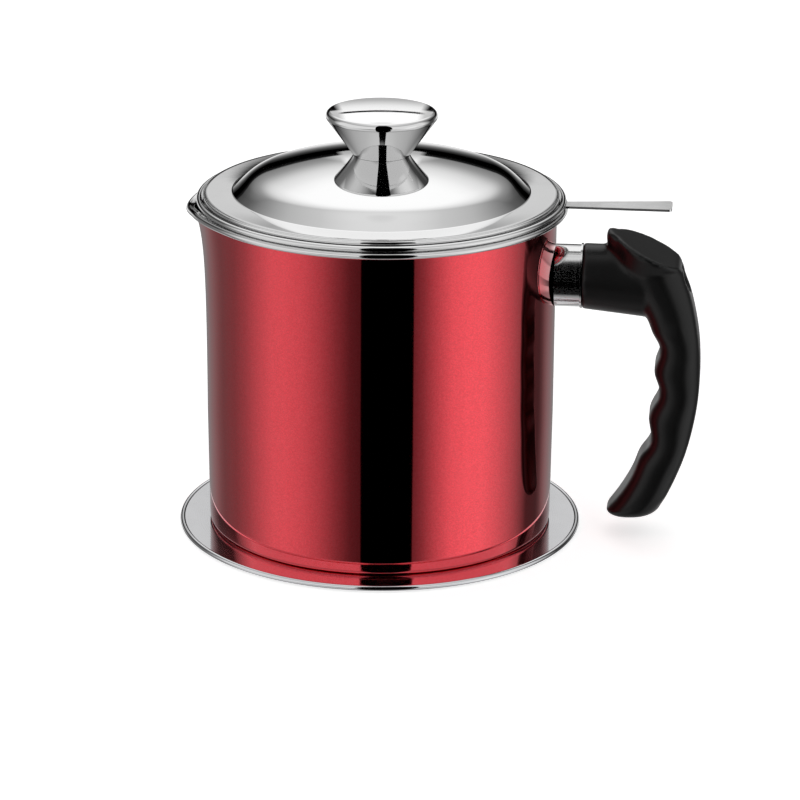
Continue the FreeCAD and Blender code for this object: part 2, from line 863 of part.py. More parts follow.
def cut_saddle(body):
    """Shape the inner end of a piece to the pot's round wall."""
    sketch = new_sketch(body, body.Label + "_saddle", "XY_Plane")
    draw_circle(sketch, ZERO, ZERO, size("pot_radius") + size("slip_gap"))
    pocket = body.newObject("PartDesign::Pocket", body.Label + "_saddle_cut")
    pocket.Profile = sketch
    pocket.Midplane = True
    pocket.Type = "ThroughAll"


def make_handle_ferrule():
    """Polished collar: a tube cut square that bears on the wall, with a lipped end plate against the grip."""
    sheet = size("ferrule_sheet")
    outside = size("ferrule_radius")
    start = size("pot_radius") + size("slip_gap")
    end = ferrule_end()
    hole = size("boss_radius") + size("slip_gap")
    body = turned_body("handle_ferrule", [
        (start, outside - sheet),
        (end - sheet, outside - sheet),
        (end - sheet, hole),
        (end, hole),
        (end, size("ferrule_lip_radius")),
        (end - sheet, size("ferrule_lip_radius")),
        (end - sheet, outside),
        (start, outside),
    ], "H_Axis")
    raise_to(body, HANDLE_HEIGHT)


def make_handle_boss():
    """Threaded boss welded to the wall; its end sits in the grip's socket."""
    outside = size("boss_radius")
    bore = size("screw_radius") + size("slip_gap")
    start = size("pot_radius") - as_size(1)
    end = size("pot_radius") + size("boss_length")
    bottom = end - size("boss_thread_depth")
    body = turned_body("handle_boss", [
        (start, ZERO),
        (bottom, ZERO),
        (bottom, bore),
        (end, bore),
        (end, outside),
        (start, outside),
    ], "H_Axis")
    raise_to(body, HANDLE_HEIGHT)
    cut_saddle(body)


def screw_seat():
    """Distance of the counterbore's floor from the pot's axis."""
    return ferrule_end() + size("counterbore_floor")


def make_handle_washer():
    """Washer on the floor of the grip's counterbore."""
    hole = size("screw_radius") + size("slip_gap") * 4
    outside = size("washer_radius")
    start = screw_seat()
    end = start + size("washer_sheet")
    body = turned_body("handle_washer", [(start, hole), (end, hole), (end, outside), (start, outside)], "H_Axis")
    raise_to(body, HANDLE_HEIGHT)


def make_handle_screw():
    """Long screw from the back of the grip into the boss."""
    shank = size("screw_radius")
    head = size("screw_head_radius")
    seat = screw_seat() + size("washer_sheet")
    back = seat + size("screw_head_height")
    tip = seat - size("screw_length")
    body = turned_body("handle_screw", [
        (tip, ZERO),
        (back, ZERO),
        (back, head),
        (seat, head),
        (seat, shank),
        (tip, shank),
    ], "H_Axis")
    raise_to(body, HANDLE_HEIGHT)


# ---------------------------------------------------------------- grip

# Stations of the grip above its arc: inner point, outer point and half width,
# all from the middle of the ferrule's end, along X and Z.
UPPER_STATIONS = [
    ((23.1, -14.6), (38.8, -10.9), 11.0),
    ((19.8, -8.9), (37.0, -3.9), 11.0),
    ((15.9, -2.6), (34.6, 3.1), 11.0),
    ((12.7, 3.4), (31.9, 9.8), 10.6),
    ((10.3, 8.1), (26.7, 15.4), 9.4),
    ((8.8, 11.0), (19.7, 18.8), 7.6),
    ((8.0, 13.2), (13.9, 19.6), 5.4),
    ((7.8, 15.2), (10.6, 18.6), 3.4),
    ((8.4, 16.8), (9.6, 18.0), 1.2),
]
# Stations that round off the lower end of the grip, from the end upwards.
END_STATIONS = [
    ((13.6, -85.3), (24.0, -84.9), 6.0),
    ((11.2, -84.9), (26.6, -84.1), 8.6),
    ((10.3, -83.7), (28.2, -82.7), 10.2),
    ((11.9, -81.3), (29.2, -80.8), 11.0),
]


def groove_wave(angle):
    """Three waves along the grip, 1 at the middle of a groove and 0 between; the last is a little longer."""
    pitch = size("groove_pitch_angle").value
    last_pitch = size("last_groove_pitch_angle").value
    second = size("groove_top_angle").value - pitch
    last = second - last_pitch
    phase = (angle - second) / (pitch if angle > second else last_pitch)
    if angle > second + pitch * 1.5 or angle < last - last_pitch / 2:
        return 0.0
    return 0.5 + 0.5 * math.cos(2 * math.pi * phase)


def grip_thickness_at(angle):
    """Thickness of the grip along its arc, less the finger grooves; it thins from the last ridge downwards."""
    last_pitch = size("last_groove_pitch_angle").value
    ridge = size("groove_top_angle").value - size("groove_pitch_angle").value - last_pitch / 2
    share = (ridge - angle) / (ridge + size("grip_arc_end_angle").value)
    thinning = size("grip_end_thinning").value * min(max(share, 0.0), 1.0)
    return size("grip_thickness").value - thinning - size("groove_depth").value * groove_wave(angle)


def arc_stations():
    """Stations of the grip along its arc, from low to high, in the same form as the lists above."""
    radius = size("grip_arc_radius").value
    centre_x = size("grip_reach").value - radius
    centre_z = -size("grip_arc_drop").value
    width = size("grip_half_width").value
    step = size("groove_pitch_angle").value / 4
    lowest = -size("grip_arc_end_angle").value
    highest = size("grip_arc_top_angle").value
    station_count = int(round((highest - lowest) / step))
    stations = []
    for index in range(station_count + 1):
        angle = lowest + (highest - lowest) * index / station_count
        across = (math.cos(math.radians(angle)), math.sin(math.radians(angle)))
        inside = radius - grip_thickness_at(angle)
        inner = (centre_x + inside * across[0], centre_z + inside * across[1])
        outer = (centre_x + radius * across[0], centre_z + radius * across[1])
        stations.append((inner, outer, width))
    return stations


def grip_point(x, z):
    """A point of the grip's middle plane, given from the middle of the ferrule's end."""
    return Vector(ferrule_end().value + x, 0, HANDLE_HEIGHT.value + z)


def rounded_section(station):
    """Rounded rectangle across the grip at one station."""
    inner, outer, half_width = station
    start = grip_point(*inner)
    end = grip_point(*outer)
    middle = (start + end) * 0.5
    half_depth = (end - start).Length / 2
    deep = (end - start).normalize()
    wide = Vector(0, 1, 0)
    corner = size("grip_corner_share").value * min(half_depth, half_width)
    slant = corner * (1 - math.sqrt(0.5))

    def place(along, across):
        return middle + deep * along + wide * across

    edges = []
    for along, across in ((1, 1), (-1, 1), (-1, -1), (1, -1)):
        tip = (along * half_depth, across * half_width)
        on_side = place(tip[0], tip[1] - across * corner)
        on_face = place(tip[0] - along * corner, tip[1])
        bulge = place(tip[0] - along * slant, tip[1] - across * slant)
        first, last = (on_side, on_face) if along == across else (on_face, on_side)
        if edges:
            edges.append(Part.LineSegment(edges[-1].EndPoint, first))
        edges.append(Part.Arc(first, bulge, last))
    edges.append(Part.LineSegment(edges[-1].EndPoint, edges[0].StartPoint))
    return Part.Wire([edge.toShape() for edge in edges])


def make_grip_horn():
    """The grip proper, lofted through its stations."""
    stations = END_STATIONS + arc_stations() + UPPER_STATIONS
    horn = DOC.addObject("Part::Feature", "grip_horn")
    horn.Shape = Part.makeLoft([rounded_section(station) for station in stations], True, False)
    return horn


def make_grip_neck():
    """Neck between ferrule and grip: round at the ferrule, level on top and deeper towards the grip."""
    radius = size("grip_neck_radius").value
    swell_radius = size("grip_neck_swell").value
    half_width = size("grip_neck_end_half_width").value
    along = Vector(1, 0, 0)
    circle = Part.Circle(grip_point(size("slip_gap").value, 0), along, radius)
    centre = grip_point(size("grip_neck_length").value, -swell_radius)
    bottom = centre - Vector(0, 0, radius + swell_radius)
    oval = Part.Ellipse(bottom, centre - Vector(0, half_width, 0), centre)
    neck = DOC.addObject("Part::Feature", "grip_neck")
    neck.Shape = Part.makeLoft([Part.Wire([circle.toShape()]), Part.Wire([oval.toShape()])], True, True)
    return neck


def thumb_normal():
    """Direction that the flat of the thumb rest faces."""
    slope = math.radians(size("thumb_rest_slope").value)
    return Vector(math.sin(slope), 0, math.cos(slope))


def make_thumb_rest():
    """Round head under the thumb flat: a rim, and a cone that draws it in to the grip."""
    normal = thumb_normal()
    rim = size("thumb_rest_rim")
    depth = size("thumb_rest_depth") - rim
    turn = FreeCAD.Rotation(Vector(0, 0, 1), normal)
    centre = grip_point(size("thumb_rest_x").value, size("thumb_rest_height").value)
    under_rim = centre - normal * rim.value
    disc = DOC.addObject("Part::Cylinder", "thumb_rest_rim")
    disc.setExpression("Radius", size("thumb_rest_radius").formula)
    disc.setExpression("Height", (rim * 2).formula)
    disc.Placement = FreeCAD.Placement(under_rim, turn)
    cone = DOC.addObject("Part::Cone", "thumb_rest_cone")
    cone.setExpression("Radius1", size("thumb_rest_foot_radius").formula)
    cone.setExpression("Radius2", size("thumb_rest_radius").formula)
    cone.setExpression("Height", depth.formula)
    cone.Placement = FreeCAD.Placement(under_rim - normal * depth.value, turn)
    return [disc, cone]


def lying_cylinder(name, radius, start, length):
    """A cylinder along X at the handle's height."""
    cylinder = DOC.addObject("Part::Cylinder", name)
    cylinder.setExpression("Radius", radius.formula)
    cylinder.setExpression("Height", length.formula)
    cylinder.Placement = FreeCAD.Placement(Vector(0, 0, 0), FreeCAD.Rotation(Vector(0, 1, 0), 90))
    cylinder.setExpression("Placement.Base.x", start.formula)
    raise_to(cylinder, HANDLE_HEIGHT)
    return cylinder


def cutting_block(name, x, z, slope):
    """Block whose underside passes through a point of the middle plane and falls outwards at a slope."""
    reach = size("grip_reach").value
    block = DOC.addObject("Part::Box", name)
    block.Length = reach * 2
    block.Width = reach * 2
    block.Height = reach
    turn = FreeCAD.Rotation(Vector(0, 1, 0), slope)
    block.Placement = FreeCAD.Placement(grip_point(x, z) + turn.multVec(Vector(-reach, -reach, 0)), turn)
    return block


def make_thumb_cuts():
    """The flat of the thumb rest, and the steeper flat behind it."""
    x = size("thumb_rest_x").value
    z = size("thumb_rest_height").value
    slope = size("thumb_rest_slope").value
    end_x = size("thumb_end_x").value
    end_z = z - (end_x - x) * math.tan(math.radians(slope))
    return [
        cutting_block("thumb_cut", x, z, slope),
        cutting_block("thumb_end_cut", end_x, end_z, size("thumb_end_slope").value),
    ]


def make_handle_grip():
    """Grip, neck and thumb rest moulded in one, with the socket and the screw's holes."""
    solid = DOC.addObject("Part::MultiFuse", "grip_solid")
    solid.Shapes = [make_grip_horn(), make_grip_neck()] + make_thumb_rest()
    socket_length = size("boss_length") - size("ferrule_length") + size("slip_gap") * 4
    socket_radius = size("boss_radius") + size("slip_gap")
    far = size("grip_reach") + size("screw_length")
    tools = DOC.addObject("Part::MultiFuse", "grip_holes")
    tools.Shapes = make_thumb_cuts() + [
        lying_cylinder("grip_socket", socket_radius, ferrule_end(), socket_length),
        lying_cylinder("grip_bore", size("screw_radius") + size("slip_gap") * 4, ferrule_end(), far),
        lying_cylinder("grip_counterbore", size("counterbore_radius"), screw_seat(), far),
    ]
    grip = DOC.addObject("Part::Cut", "handle_grip")
    grip.Base = solid
    grip.Tool = tools
    grip.Label = "handle_grip"
    NODES.append(grip)


# ---------------------------------------------------------------- build, test and write


def check(document, nodes):
    """Stop unless every object was computed and every sub-part is a valid, closed solid."""
    for item in document.Objects:
        if "Invalid" in item.State or "Error" in item.State:
            raise RuntimeError("%s could not be computed: %s" % (item.Label, item.State))
    for node in nodes:
        shape = node.Shape
        if shape.isNull() or not shape.isValid() or not shape.Solids:
            raise RuntimeError("%s has no valid solid" % node.Label)


def main():
    make_drip_tray()
    make_pot_shell()
    make_strainer_rim()
    make_strainer_mesh()
    make_strainer_hoop()
    make_strainer_tab()
    make_lid_shell()
    make_lid_locating_ring()
    make_knob_shell()
    make_knob_cap()
    make_knob_insert()
    make_knob_washer()
    make_knob_screw()
    make_handle_ferrule()
    make_handle_boss()
    make_handle_washer()
    make_handle_screw()
    make_handle_grip()
    DOC.recompute()
    check(DOC, NODES)
    os.makedirs("parts", exist_ok=True)
    for node in NODES:
        node.Shape.exportStep("parts/%s.step" % node.Label)
        box = node.Shape.BoundBox
        print("%-18s volume %9.1f  x %.2f..%.2f  y %.2f..%.2f  z %.2f..%.2f  solids %d" % (
            node.Label, node.Shape.Volume, box.XMin, box.XMax, box.YMin, box.YMax, box.ZMin, box.ZMax,
            len(node.Shape.Solids)))


main()
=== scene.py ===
# %% [markdown]
# # A lacquered steel grease container, dressed for a picture
#
# The solids of this pot, its strainer, lid and tray were made in CAD. Here they get
# their finishes: red lacquer over polished steel, mirror-polished lid and knob, a
# woven wire bowl and a moulded black grip. Lengths below are in millimetres, as on a
# workshop drawing, and one factor turns them into Blender's metres.

import math

import bmesh
import bpy
import numpy as np
from mathutils import Matrix, Vector


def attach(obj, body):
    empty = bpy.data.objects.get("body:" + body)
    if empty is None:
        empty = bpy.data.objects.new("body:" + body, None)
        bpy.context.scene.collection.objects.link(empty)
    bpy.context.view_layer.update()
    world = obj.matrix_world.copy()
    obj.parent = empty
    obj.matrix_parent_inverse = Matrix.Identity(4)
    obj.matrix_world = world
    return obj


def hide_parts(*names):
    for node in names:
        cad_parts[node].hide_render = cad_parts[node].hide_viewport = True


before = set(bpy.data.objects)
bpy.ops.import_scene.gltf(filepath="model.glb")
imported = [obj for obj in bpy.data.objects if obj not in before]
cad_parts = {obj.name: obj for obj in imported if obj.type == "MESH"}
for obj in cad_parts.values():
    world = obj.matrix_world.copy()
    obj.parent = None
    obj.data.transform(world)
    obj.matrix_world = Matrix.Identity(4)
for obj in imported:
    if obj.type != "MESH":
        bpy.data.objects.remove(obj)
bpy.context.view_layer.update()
MM = 0.001

# %% [markdown]
# ## Colours and nodes
#
# Colours are written as they look on a screen, in hex, and Blender works in linear
# light, so one function does the change. One more function adds a node, sets its
# values, fills a colour ramp and links inputs. Three short ones turn sizes on the real
# surface into the values of a node. Every finish below is built with these.


# %% Small helpers
def linear(hex_colour):
    """Each channel c, from 0 to 1, becomes ((c + 0.055) / 1.055) to the power 2.4."""
    channels = np.array([int(hex_colour[i : i + 2], 16) for i in (1, 3, 5)]) / 255
    low, high = channels / 12.92, ((channels + 0.055) / 1.055) ** 2.4
    return (*np.where(channels <= 0.04045, low, high).tolist(), 1.0)


def grey(level):
    """A grey of that linear level, with alpha 1."""
    return (level, level, level, 1.0)


def add_node(tree, kind, links=None, stops=None, **settings):
    """Add a node: inputs fill sockets, stops fill a ramp, other settings name a property.

    Links feed sockets, each from a socket or from the first output of a node.
    """
    node = tree.nodes.new("ShaderNode" + kind)
    for name, value in settings.pop("inputs", {}).items():
        node.inputs[name].default_value = value
    for name, value in settings.items():
        setattr(node, name, value)
    for name, source in (links or {}).items():
        socket = source.outputs[0] if isinstance(source, bpy.types.Node) else source
        tree.links.new(socket, node.inputs[name])
    if stops:
        elements = node.color_ramp.elements
        elements.remove(elements[1])
        elements[0].position, elements[0].color = stops[0]
        for position, colour in stops[1:]:
            elements.new(position).color = colour
    return node


def new_finish(name, **sockets):
    """A material with one Principled shader, whose even values sit on the shader's own sockets."""
    finish = bpy.data.materials.new(name)
    finish.use_nodes = True
    shader = finish.node_tree.nodes["Principled BSDF"]
    for socket, value in sockets.items():
        shader.inputs[socket.replace("_", " ")].default_value = value
    return finish, finish.node_tree, shader


def noise_of(size, detail):
    """Inputs of a noise whose clouds are that many millimetres across."""
    return {"Scale": 1 / (size * MM), "Detail": detail}


def between(low, high):
    """MapRange inputs that spread the middle of a noise, 0.3 to 0.7, from low to high."""
    return {"From Min": 0.3, "From Max": 0.7, "To Min": low, "To Max": high}


def bump_of(strength, distance):
    """Bump inputs; the distance is in millimetres."""
    return {"Strength": strength, "Distance": distance * MM}


print("mid grey #808080 is", round(linear("#808080")[0], 3), "in linear light")

# %% [markdown]
# ## Buffed stainless steel
#
# Lid, knob, strainer ring and the pot's bare rim are pressed from 18/8 stainless sheet
# and buffed on a cloth wheel. The eye gets a slightly grey mirror with very fine,
# cloudy buffing marks, so the roughness is low and wanders a little, and a weak bump
# ripples the reflections.


# %% Buffed steel
def buffed_steel(name, colour, smoothest, roughest, cloud_size, marks_size, marks_strength):
    """Roughness wanders between two values by a cloud; the bump is a finer cloud of marks."""
    finish, tree, shader = new_finish(name, Metallic=1.0)
    shader.inputs["Base Color"].default_value = linear(colour)
    place = add_node(tree, "TexCoord").outputs["Object"]
    cloud = add_node(tree, "TexNoise", {"Vector": place}, inputs=noise_of(cloud_size, 3.0))
    rough = add_node(tree, "MapRange", {"Value": cloud}, inputs=between(smoothest, roughest))
    tree.links.new(rough.outputs["Result"], shader.inputs["Roughness"])
    marks = add_node(tree, "TexNoise", {"Vector": place}, inputs=noise_of(marks_size, 2.0))
    bump = add_node(tree, "Bump", {"Height": marks}, inputs=bump_of(marks_strength, 0.1))
    tree.links.new(bump.outputs["Normal"], shader.inputs["Normal"])
    return finish


MIRROR = buffed_steel(
    "stainless_steel_buffed",
    "#E8E8E8",
    smoothest=0.02,
    roughest=0.05,
    cloud_size=12,
    marks_size=2.5,
    marks_strength=0.012,
)
RING_STEEL = buffed_steel(
    "stainless_steel_polished",
    "#E4E4E4",
    smoothest=0.05,
    roughest=0.10,
    cloud_size=6,
    marks_size=1.5,
    marks_strength=0.02,
)
FASTENER_STEEL = buffed_steel(
    "zinc_plated_steel",
    "#C4C6C8",
    smoothest=0.24,
    roughest=0.36,
    cloud_size=4,
    marks_size=0.6,
    marks_strength=0.12,
)
print("made", MIRROR.name, RING_STEEL.name, FASTENER_STEEL.name)

# %% [markdown]
# ## Brushed collar and spun tray
#
# The collar of the handle was turned against a belt, so it carries fine lines round its
# own axis, which points along X: the line pattern changes fast along X and slowly along
# Y and Z. The tray was spun and then buffed, which leaves faint circles round the Z
# axis, 0.4 mm apart on the real sheet and drawn 0.8 mm apart here so that they show.


# %% Brushed steel
def brushed_steel(line_gap, line_length):
    """A noise drawn out into lines across X moves roughness and bump; gap and length in mm."""
    finish, tree, shader = new_finish("stainless_steel_brushed", Metallic=1.0)
    shader.inputs["Base Color"].default_value = linear("#DCDCDC")
    place = add_node(tree, "TexCoord").outputs["Object"]
    stretch = (1 / (line_gap * MM), 1 / (line_length * MM), 1 / (line_length * MM))
    lines = add_node(tree, "VectorMath", {0: place}, operation="MULTIPLY", inputs={1: stretch})
    grain = add_node(tree, "TexNoise", {"Vector": lines}, inputs={"Scale": 1.0, "Detail": 3.0})
    rough = add_node(tree, "MapRange", {"Value": grain}, inputs=between(0.06, 0.11))
    tree.links.new(rough.outputs["Result"], shader.inputs["Roughness"])
    bump = add_node(tree, "Bump", {"Height": grain}, inputs=bump_of(0.02, 0.03))
    tree.links.new(bump.outputs["Normal"], shader.inputs["Normal"])
    return finish


BRUSHED = brushed_steel(line_gap=0.25, line_length=10)
print("made", BRUSHED.name)


# %% Spun steel
def spun_steel(ring_pitch):
    """Bump is the sine of the distance to the Z axis, one wave every ring pitch in mm."""
    finish, tree, shader = new_finish("stainless_steel_spun", Metallic=1.0)
    shader.inputs["Base Color"].default_value = linear("#E2E2E4")
    place = add_node(tree, "TexCoord").outputs["Object"]
    cloud = add_node(tree, "TexNoise", {"Vector": place}, inputs=noise_of(9, 3.0))
    rough = add_node(tree, "MapRange", {"Value": cloud}, inputs=between(0.06, 0.12))
    tree.links.new(rough.outputs["Result"], shader.inputs["Roughness"])
    parts = add_node(tree, "SeparateXYZ", {"Vector": place})
    flat = add_node(tree, "CombineXYZ", {"X": parts.outputs["X"], "Y": parts.outputs["Y"]})
    radius = add_node(tree, "VectorMath", {0: flat}, operation="LENGTH")
    waves = {1: 2 * math.pi / (ring_pitch * MM)}
    turns = add_node(tree, "Math", {0: radius.outputs["Value"]}, operation="MULTIPLY", inputs=waves)
    rings = add_node(tree, "Math", {0: turns}, operation="SINE")
    bump = add_node(tree, "Bump", {"Height": rings}, inputs=bump_of(0.015, 0.05))
    tree.links.new(bump.outputs["Normal"], shader.inputs["Normal"])
    return finish


TRAY_STEEL = spun_steel(ring_pitch=0.8)
print("made", TRAY_STEEL.name)

# %% [markdown]
# ## Woven wire
#
# The bowl is fine plain-weave mesh of 0.25 mm stainless wire, about 20 wires to the
# centimetre, pressed from a flat disc. It is drawn at 1.0 mm pitch so that the weave
# shows. The bowl's UV map gives each point its place on that flat disc, in metres.
# Every wire is a rounded ridge that rises and falls by a sine, over one cross wire and
# under the next. Its colour follows that height: near black where neither wire lies, a
# painted shade for the hole the eye looks through, and darker towards each wire's sides,
# painted shading of its round.


# %% Woven wire
def woven_wire(pitch, wire_share):
    """Ridge = 1 - (distance to the wire's middle / half width) squared.

    The weave lifts it by a sine along the wire, flipped from each row to the next.
    """
    finish, tree, shader = new_finish("stainless_steel_woven", Metallic=1.0)
    flat = add_node(tree, "TexCoord").outputs["UV"]
    count = 1 / (pitch * MM)
    counts = {1: (count, count, 0)}
    wires = add_node(tree, "VectorMath", {0: flat}, operation="MULTIPLY", inputs=counts)
    cells = add_node(tree, "VectorMath", {0: wires}, operation="FRACTION")
    rows = add_node(tree, "VectorMath", {0: wires}, operation="FLOOR")
    cell, row, along = (
        add_node(tree, "SeparateXYZ", {"Vector": vector}) for vector in (cells, rows, wires)
    )
    heights = []
    for across, other, shift in (("X", "Y", 0.0), ("Y", "X", math.pi)):
        place = {0: cell.outputs[across]}
        middle = add_node(tree, "Math", place, operation="SUBTRACT", inputs={1: 0.5})
        share = add_node(tree, "Math", {0: middle}, operation="DIVIDE", inputs={1: wire_share / 2})
        square = add_node(tree, "Math", {0: share}, operation="POWER", inputs={1: 2.0})
        ridge = add_node(tree, "Math", {1: square}, operation="SUBTRACT", inputs={0: 1.0})
        walked = {0: along.outputs[other], 1: row.outputs[across]}
        phase = add_node(tree, "Math", walked, operation="ADD")
        half_turns = {1: math.pi, 2: shift}
        half = add_node(tree, "Math", {0: phase}, operation="MULTIPLY_ADD", inputs=half_turns)
        wave = add_node(tree, "Math", {0: half}, operation="SINE")
        sums = {0: wave, 2: ridge}
        lift = add_node(tree, "Math", sums, operation="MULTIPLY_ADD", inputs={1: 0.5})
        solid = add_node(tree, "Math", {0: ridge}, operation="GREATER_THAN", inputs={1: 0.0})
        heights.append(add_node(tree, "Math", {0: lift, 1: solid}, operation="MULTIPLY"))
    top = add_node(tree, "Math", {0: heights[0], 1: heights[1]}, operation="MAXIMUM")
    # painted light and shade by height: near black in the holes as painted shade, darker wire sides
    # as painted shading, light wire tops
    shade_painted_by_height = [(0.0, "#1A1A1A"), (0.12, "#3A3A3A"), (0.3, "#C8C8C8"), (1.0, "#E0E0E0")]
    stops = [(height, linear(shade)) for height, shade in shade_painted_by_height]
    colour = add_node(tree, "ValToRGB", {"Fac": top}, stops=stops)
    tree.links.new(colour.outputs["Color"], shader.inputs["Base Color"])
    rough = add_node(tree, "MapRange", {"Value": top}, inputs={"To Min": 0.6, "To Max": 0.2})
    tree.links.new(rough.outputs["Result"], shader.inputs["Roughness"])
    bump = add_node(tree, "Bump", {"Height": top}, inputs=bump_of(0.8, 0.25))
    tree.links.new(bump.outputs["Normal"], shader.inputs["Normal"])
    return finish


WIRE = woven_wire(pitch=1.0, wire_share=0.56)
print("made", WIRE.name)

# %% [markdown]
# ## Candy red lacquer
#
# The pot is polished steel under a transparent red lacquer with fine metal flake.
# Light goes through the red twice, so the pot mirrors the studio in red, and the clear
# surface adds a weak white reflection that grows strong at the sides. That is a
# metallic base in red under a clear coat. The flakes are cells 0.25 mm across, coarser
# than real flake, and each one shifts the red a little.


# %% Lacquer
def red_lacquer(flake_size):
    """Base colour runs between two reds by the flake's random value; the coat is clear."""
    even = {"Metallic": 1.0, "Roughness": 0.045, "Coat_Weight": 1.0, "Coat_Roughness": 0.015}
    finish, tree, shader = new_finish("red_candy_lacquer", **even)
    place = add_node(tree, "TexCoord").outputs["Object"]
    cells = {"Scale": 1 / (flake_size * MM)}
    flakes = add_node(tree, "TexVoronoi", {"Vector": place}, inputs=cells)
    shade = add_node(tree, "SeparateColor", {"Color": flakes.outputs["Color"]})
    stops = [(0.0, linear("#E62F3C")), (1.0, linear("#F84452"))]
    reds = add_node(tree, "ValToRGB", {"Fac": shade.outputs["Red"]}, stops=stops)
    tree.links.new(reds.outputs["Color"], shader.inputs["Base Color"])
    bump = add_node(tree, "Bump", {"Height": shade.outputs["Green"]}, inputs=bump_of(0.012, 0.02))
    tree.links.new(bump.outputs["Normal"], shader.inputs["Normal"])
    return finish


LACQUER = red_lacquer(flake_size=0.25)
print("made", LACQUER.name)

# %% [markdown]
# ## Bakelite
#
# The grip is pressed from black phenolic resin in a fine-blasted mould. It is deep
# black with a soft sheen and a skin of tiny pits about 0.3 mm across.


# %% Bakelite
def bakelite(pit_size):
    """Roughness wanders from 0.30 to 0.38; bump is a noise as fine as the pits."""
    finish, tree, shader = new_finish("bakelite_moulded", IOR=1.5, Specular_IOR_Level=0.34)
    shader.inputs["Base Color"].default_value = linear("#0C0C0C")
    place = add_node(tree, "TexCoord").outputs["Object"]
    cloud = add_node(tree, "TexNoise", {"Vector": place}, inputs=noise_of(9, 3.0))
    rough = add_node(tree, "MapRange", {"Value": cloud}, inputs={"To Min": 0.30, "To Max": 0.38})
    tree.links.new(rough.outputs["Result"], shader.inputs["Roughness"])
    pits = add_node(tree, "TexNoise", {"Vector": place}, inputs=noise_of(pit_size, 2.0))
    bump = add_node(tree, "Bump", {"Height": pits}, inputs=bump_of(0.15, 0.03))
    tree.links.new(bump.outputs["Normal"], shader.inputs["Normal"])
    return finish


BAKELITE = bakelite(pit_size=0.3)
print("made", BAKELITE.name)

# %% [markdown]
# ## Finishes onto the CAD pieces
#
# A CAD piece whose shape is right keeps its mesh and only gets its material. Those that
# are replaced further down are dressed too, so that nothing is left plain.

# %% Dress the CAD pieces
FINISHES = {
    "lid_shell": MIRROR,
    "knob_shell": MIRROR,
    "knob_cap": MIRROR,
    "handle_ferrule": BRUSHED,
    "strainer_rim": RING_STEEL,
    "strainer_hoop": RING_STEEL,
    "strainer_tab": RING_STEEL,
    "lid_locating_ring": RING_STEEL,
    "handle_boss": RING_STEEL,
    "drip_tray": TRAY_STEEL,
    "knob_insert": FASTENER_STEEL,
    "knob_washer": FASTENER_STEEL,
    "knob_screw": FASTENER_STEEL,
    "handle_washer": FASTENER_STEEL,
    "handle_screw": FASTENER_STEEL,
    "handle_grip": BAKELITE,
    "pot_shell": RING_STEEL,
    "strainer_mesh": WIRE,
}
for node_name, finish in FINISHES.items():
    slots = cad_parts[node_name].data.materials
    slots.clear()
    slots.append(finish)
print("dressed", len(FINISHES), "CAD pieces")

# %% [markdown]
# ## Outlines and turned surfaces
#
# The pot is a turned piece whose outline changes round the spout; tray, strainer and
# lid are plain turned pieces. An outline is a chain of straight runs and arcs in the
# plane of radius and height, walked with the metal on the left: out along the
# underside, over the edge, back in along the top. Each run gives arrays of radius and
# height with one row per angle round the axis, so a plain turned piece is the simple
# case of one row. Turned surfaces made this way mirror without facets.


# %% Outline helpers
def run(start, end, count):
    """Points spaced evenly from start to end; a coordinate may be a column, one per angle."""
    share = np.linspace(0, 1, count)
    ends = [(np.asarray(a, float), np.asarray(b, float)) for a, b in zip(start, end)]
    return tuple(a + (b - a) * share for a, b in ends)


def arc(centre, radius, first, last, count, squash=1.0):
    """Centre + radius * (squash * cosine, sine) of an angle from first to last, in degrees."""
    turn = np.radians(np.linspace(first, last, count))
    x, z = (np.asarray(c, float) for c in centre)
    return x + radius * squash * np.cos(turn), z + radius * np.sin(turn)


def chain(pieces, rows):
    """Join runs and arcs in rows, without the point that each shares with the one before."""
    xs, zs, marks, total = [], [], [0], 0
    for index, (x, z) in enumerate(pieces):
        x, z = np.broadcast_arrays(np.atleast_2d(x), np.atleast_2d(z))
        keep = slice(1 if index else 0, None)
        xs.append(np.broadcast_to(x[:, keep], (rows, x[:, keep].shape[1])))
        zs.append(np.broadcast_to(z[:, keep], (rows, z[:, keep].shape[1])))
        total += xs[-1].shape[1]
        marks.append(total - 1)
    return np.concatenate(xs, 1), np.concatenate(zs, 1), marks


# %% Turned surface
MERGE_DISTANCE = 1e-7


def flat_disc_map(mesh, grid_uv):
    """UV of every face corner: the place of its vertex on the flat disc."""
    corner_vertex = np.empty(len(mesh.loops), int)
    mesh.loops.foreach_get("vertex_index", corner_vertex)
    corner_uv = grid_uv[corner_vertex].astype(np.float32)
    mesh.uv_layers.new(name="flat_disc").data.foreach_set("uv", corner_uv.ravel())


def spin(name, x, z, angles, finishes, finish_of_band=None, disc_map=False, sharp=40):
    """Point (i, j) is (x cos a, x sin a, z) for angle a of row i, closed round the axis."""
    turn = angles[:, None]
    grid = np.stack([x * np.cos(turn), x * np.sin(turn), np.broadcast_to(z, x.shape)], -1) * MM
    rows, columns = x.shape
    i, j = np.meshgrid(np.arange(rows), np.arange(columns - 1), indexing="ij")
    low, high = i * columns + j, ((i + 1) % rows) * columns + j
    faces = np.stack([low, high, high + 1, low + 1], -1).reshape(-1, 4)
    mesh = bpy.data.meshes.new(name)
    mesh.from_pydata(grid.reshape(-1, 3), [], faces)
    if disc_map:
        step = np.hypot(np.diff(x, axis=1), np.diff(z, axis=1))
        walked = np.concatenate([np.zeros((rows, 1)), np.cumsum(step, axis=1)], 1)
        from_pole = np.minimum(walked, walked[:, -1:] - walked) * MM
        flat = np.stack([from_pole * np.cos(turn), from_pole * np.sin(turn)], -1)
        flat_disc_map(mesh, flat.reshape(-1, 2))
    for finish in finishes:
        mesh.materials.append(finish)
    if finish_of_band is not None:
        mesh.polygons.foreach_set("material_index", np.tile(finish_of_band, rows))
    return finish_piece(name, mesh, sharp)


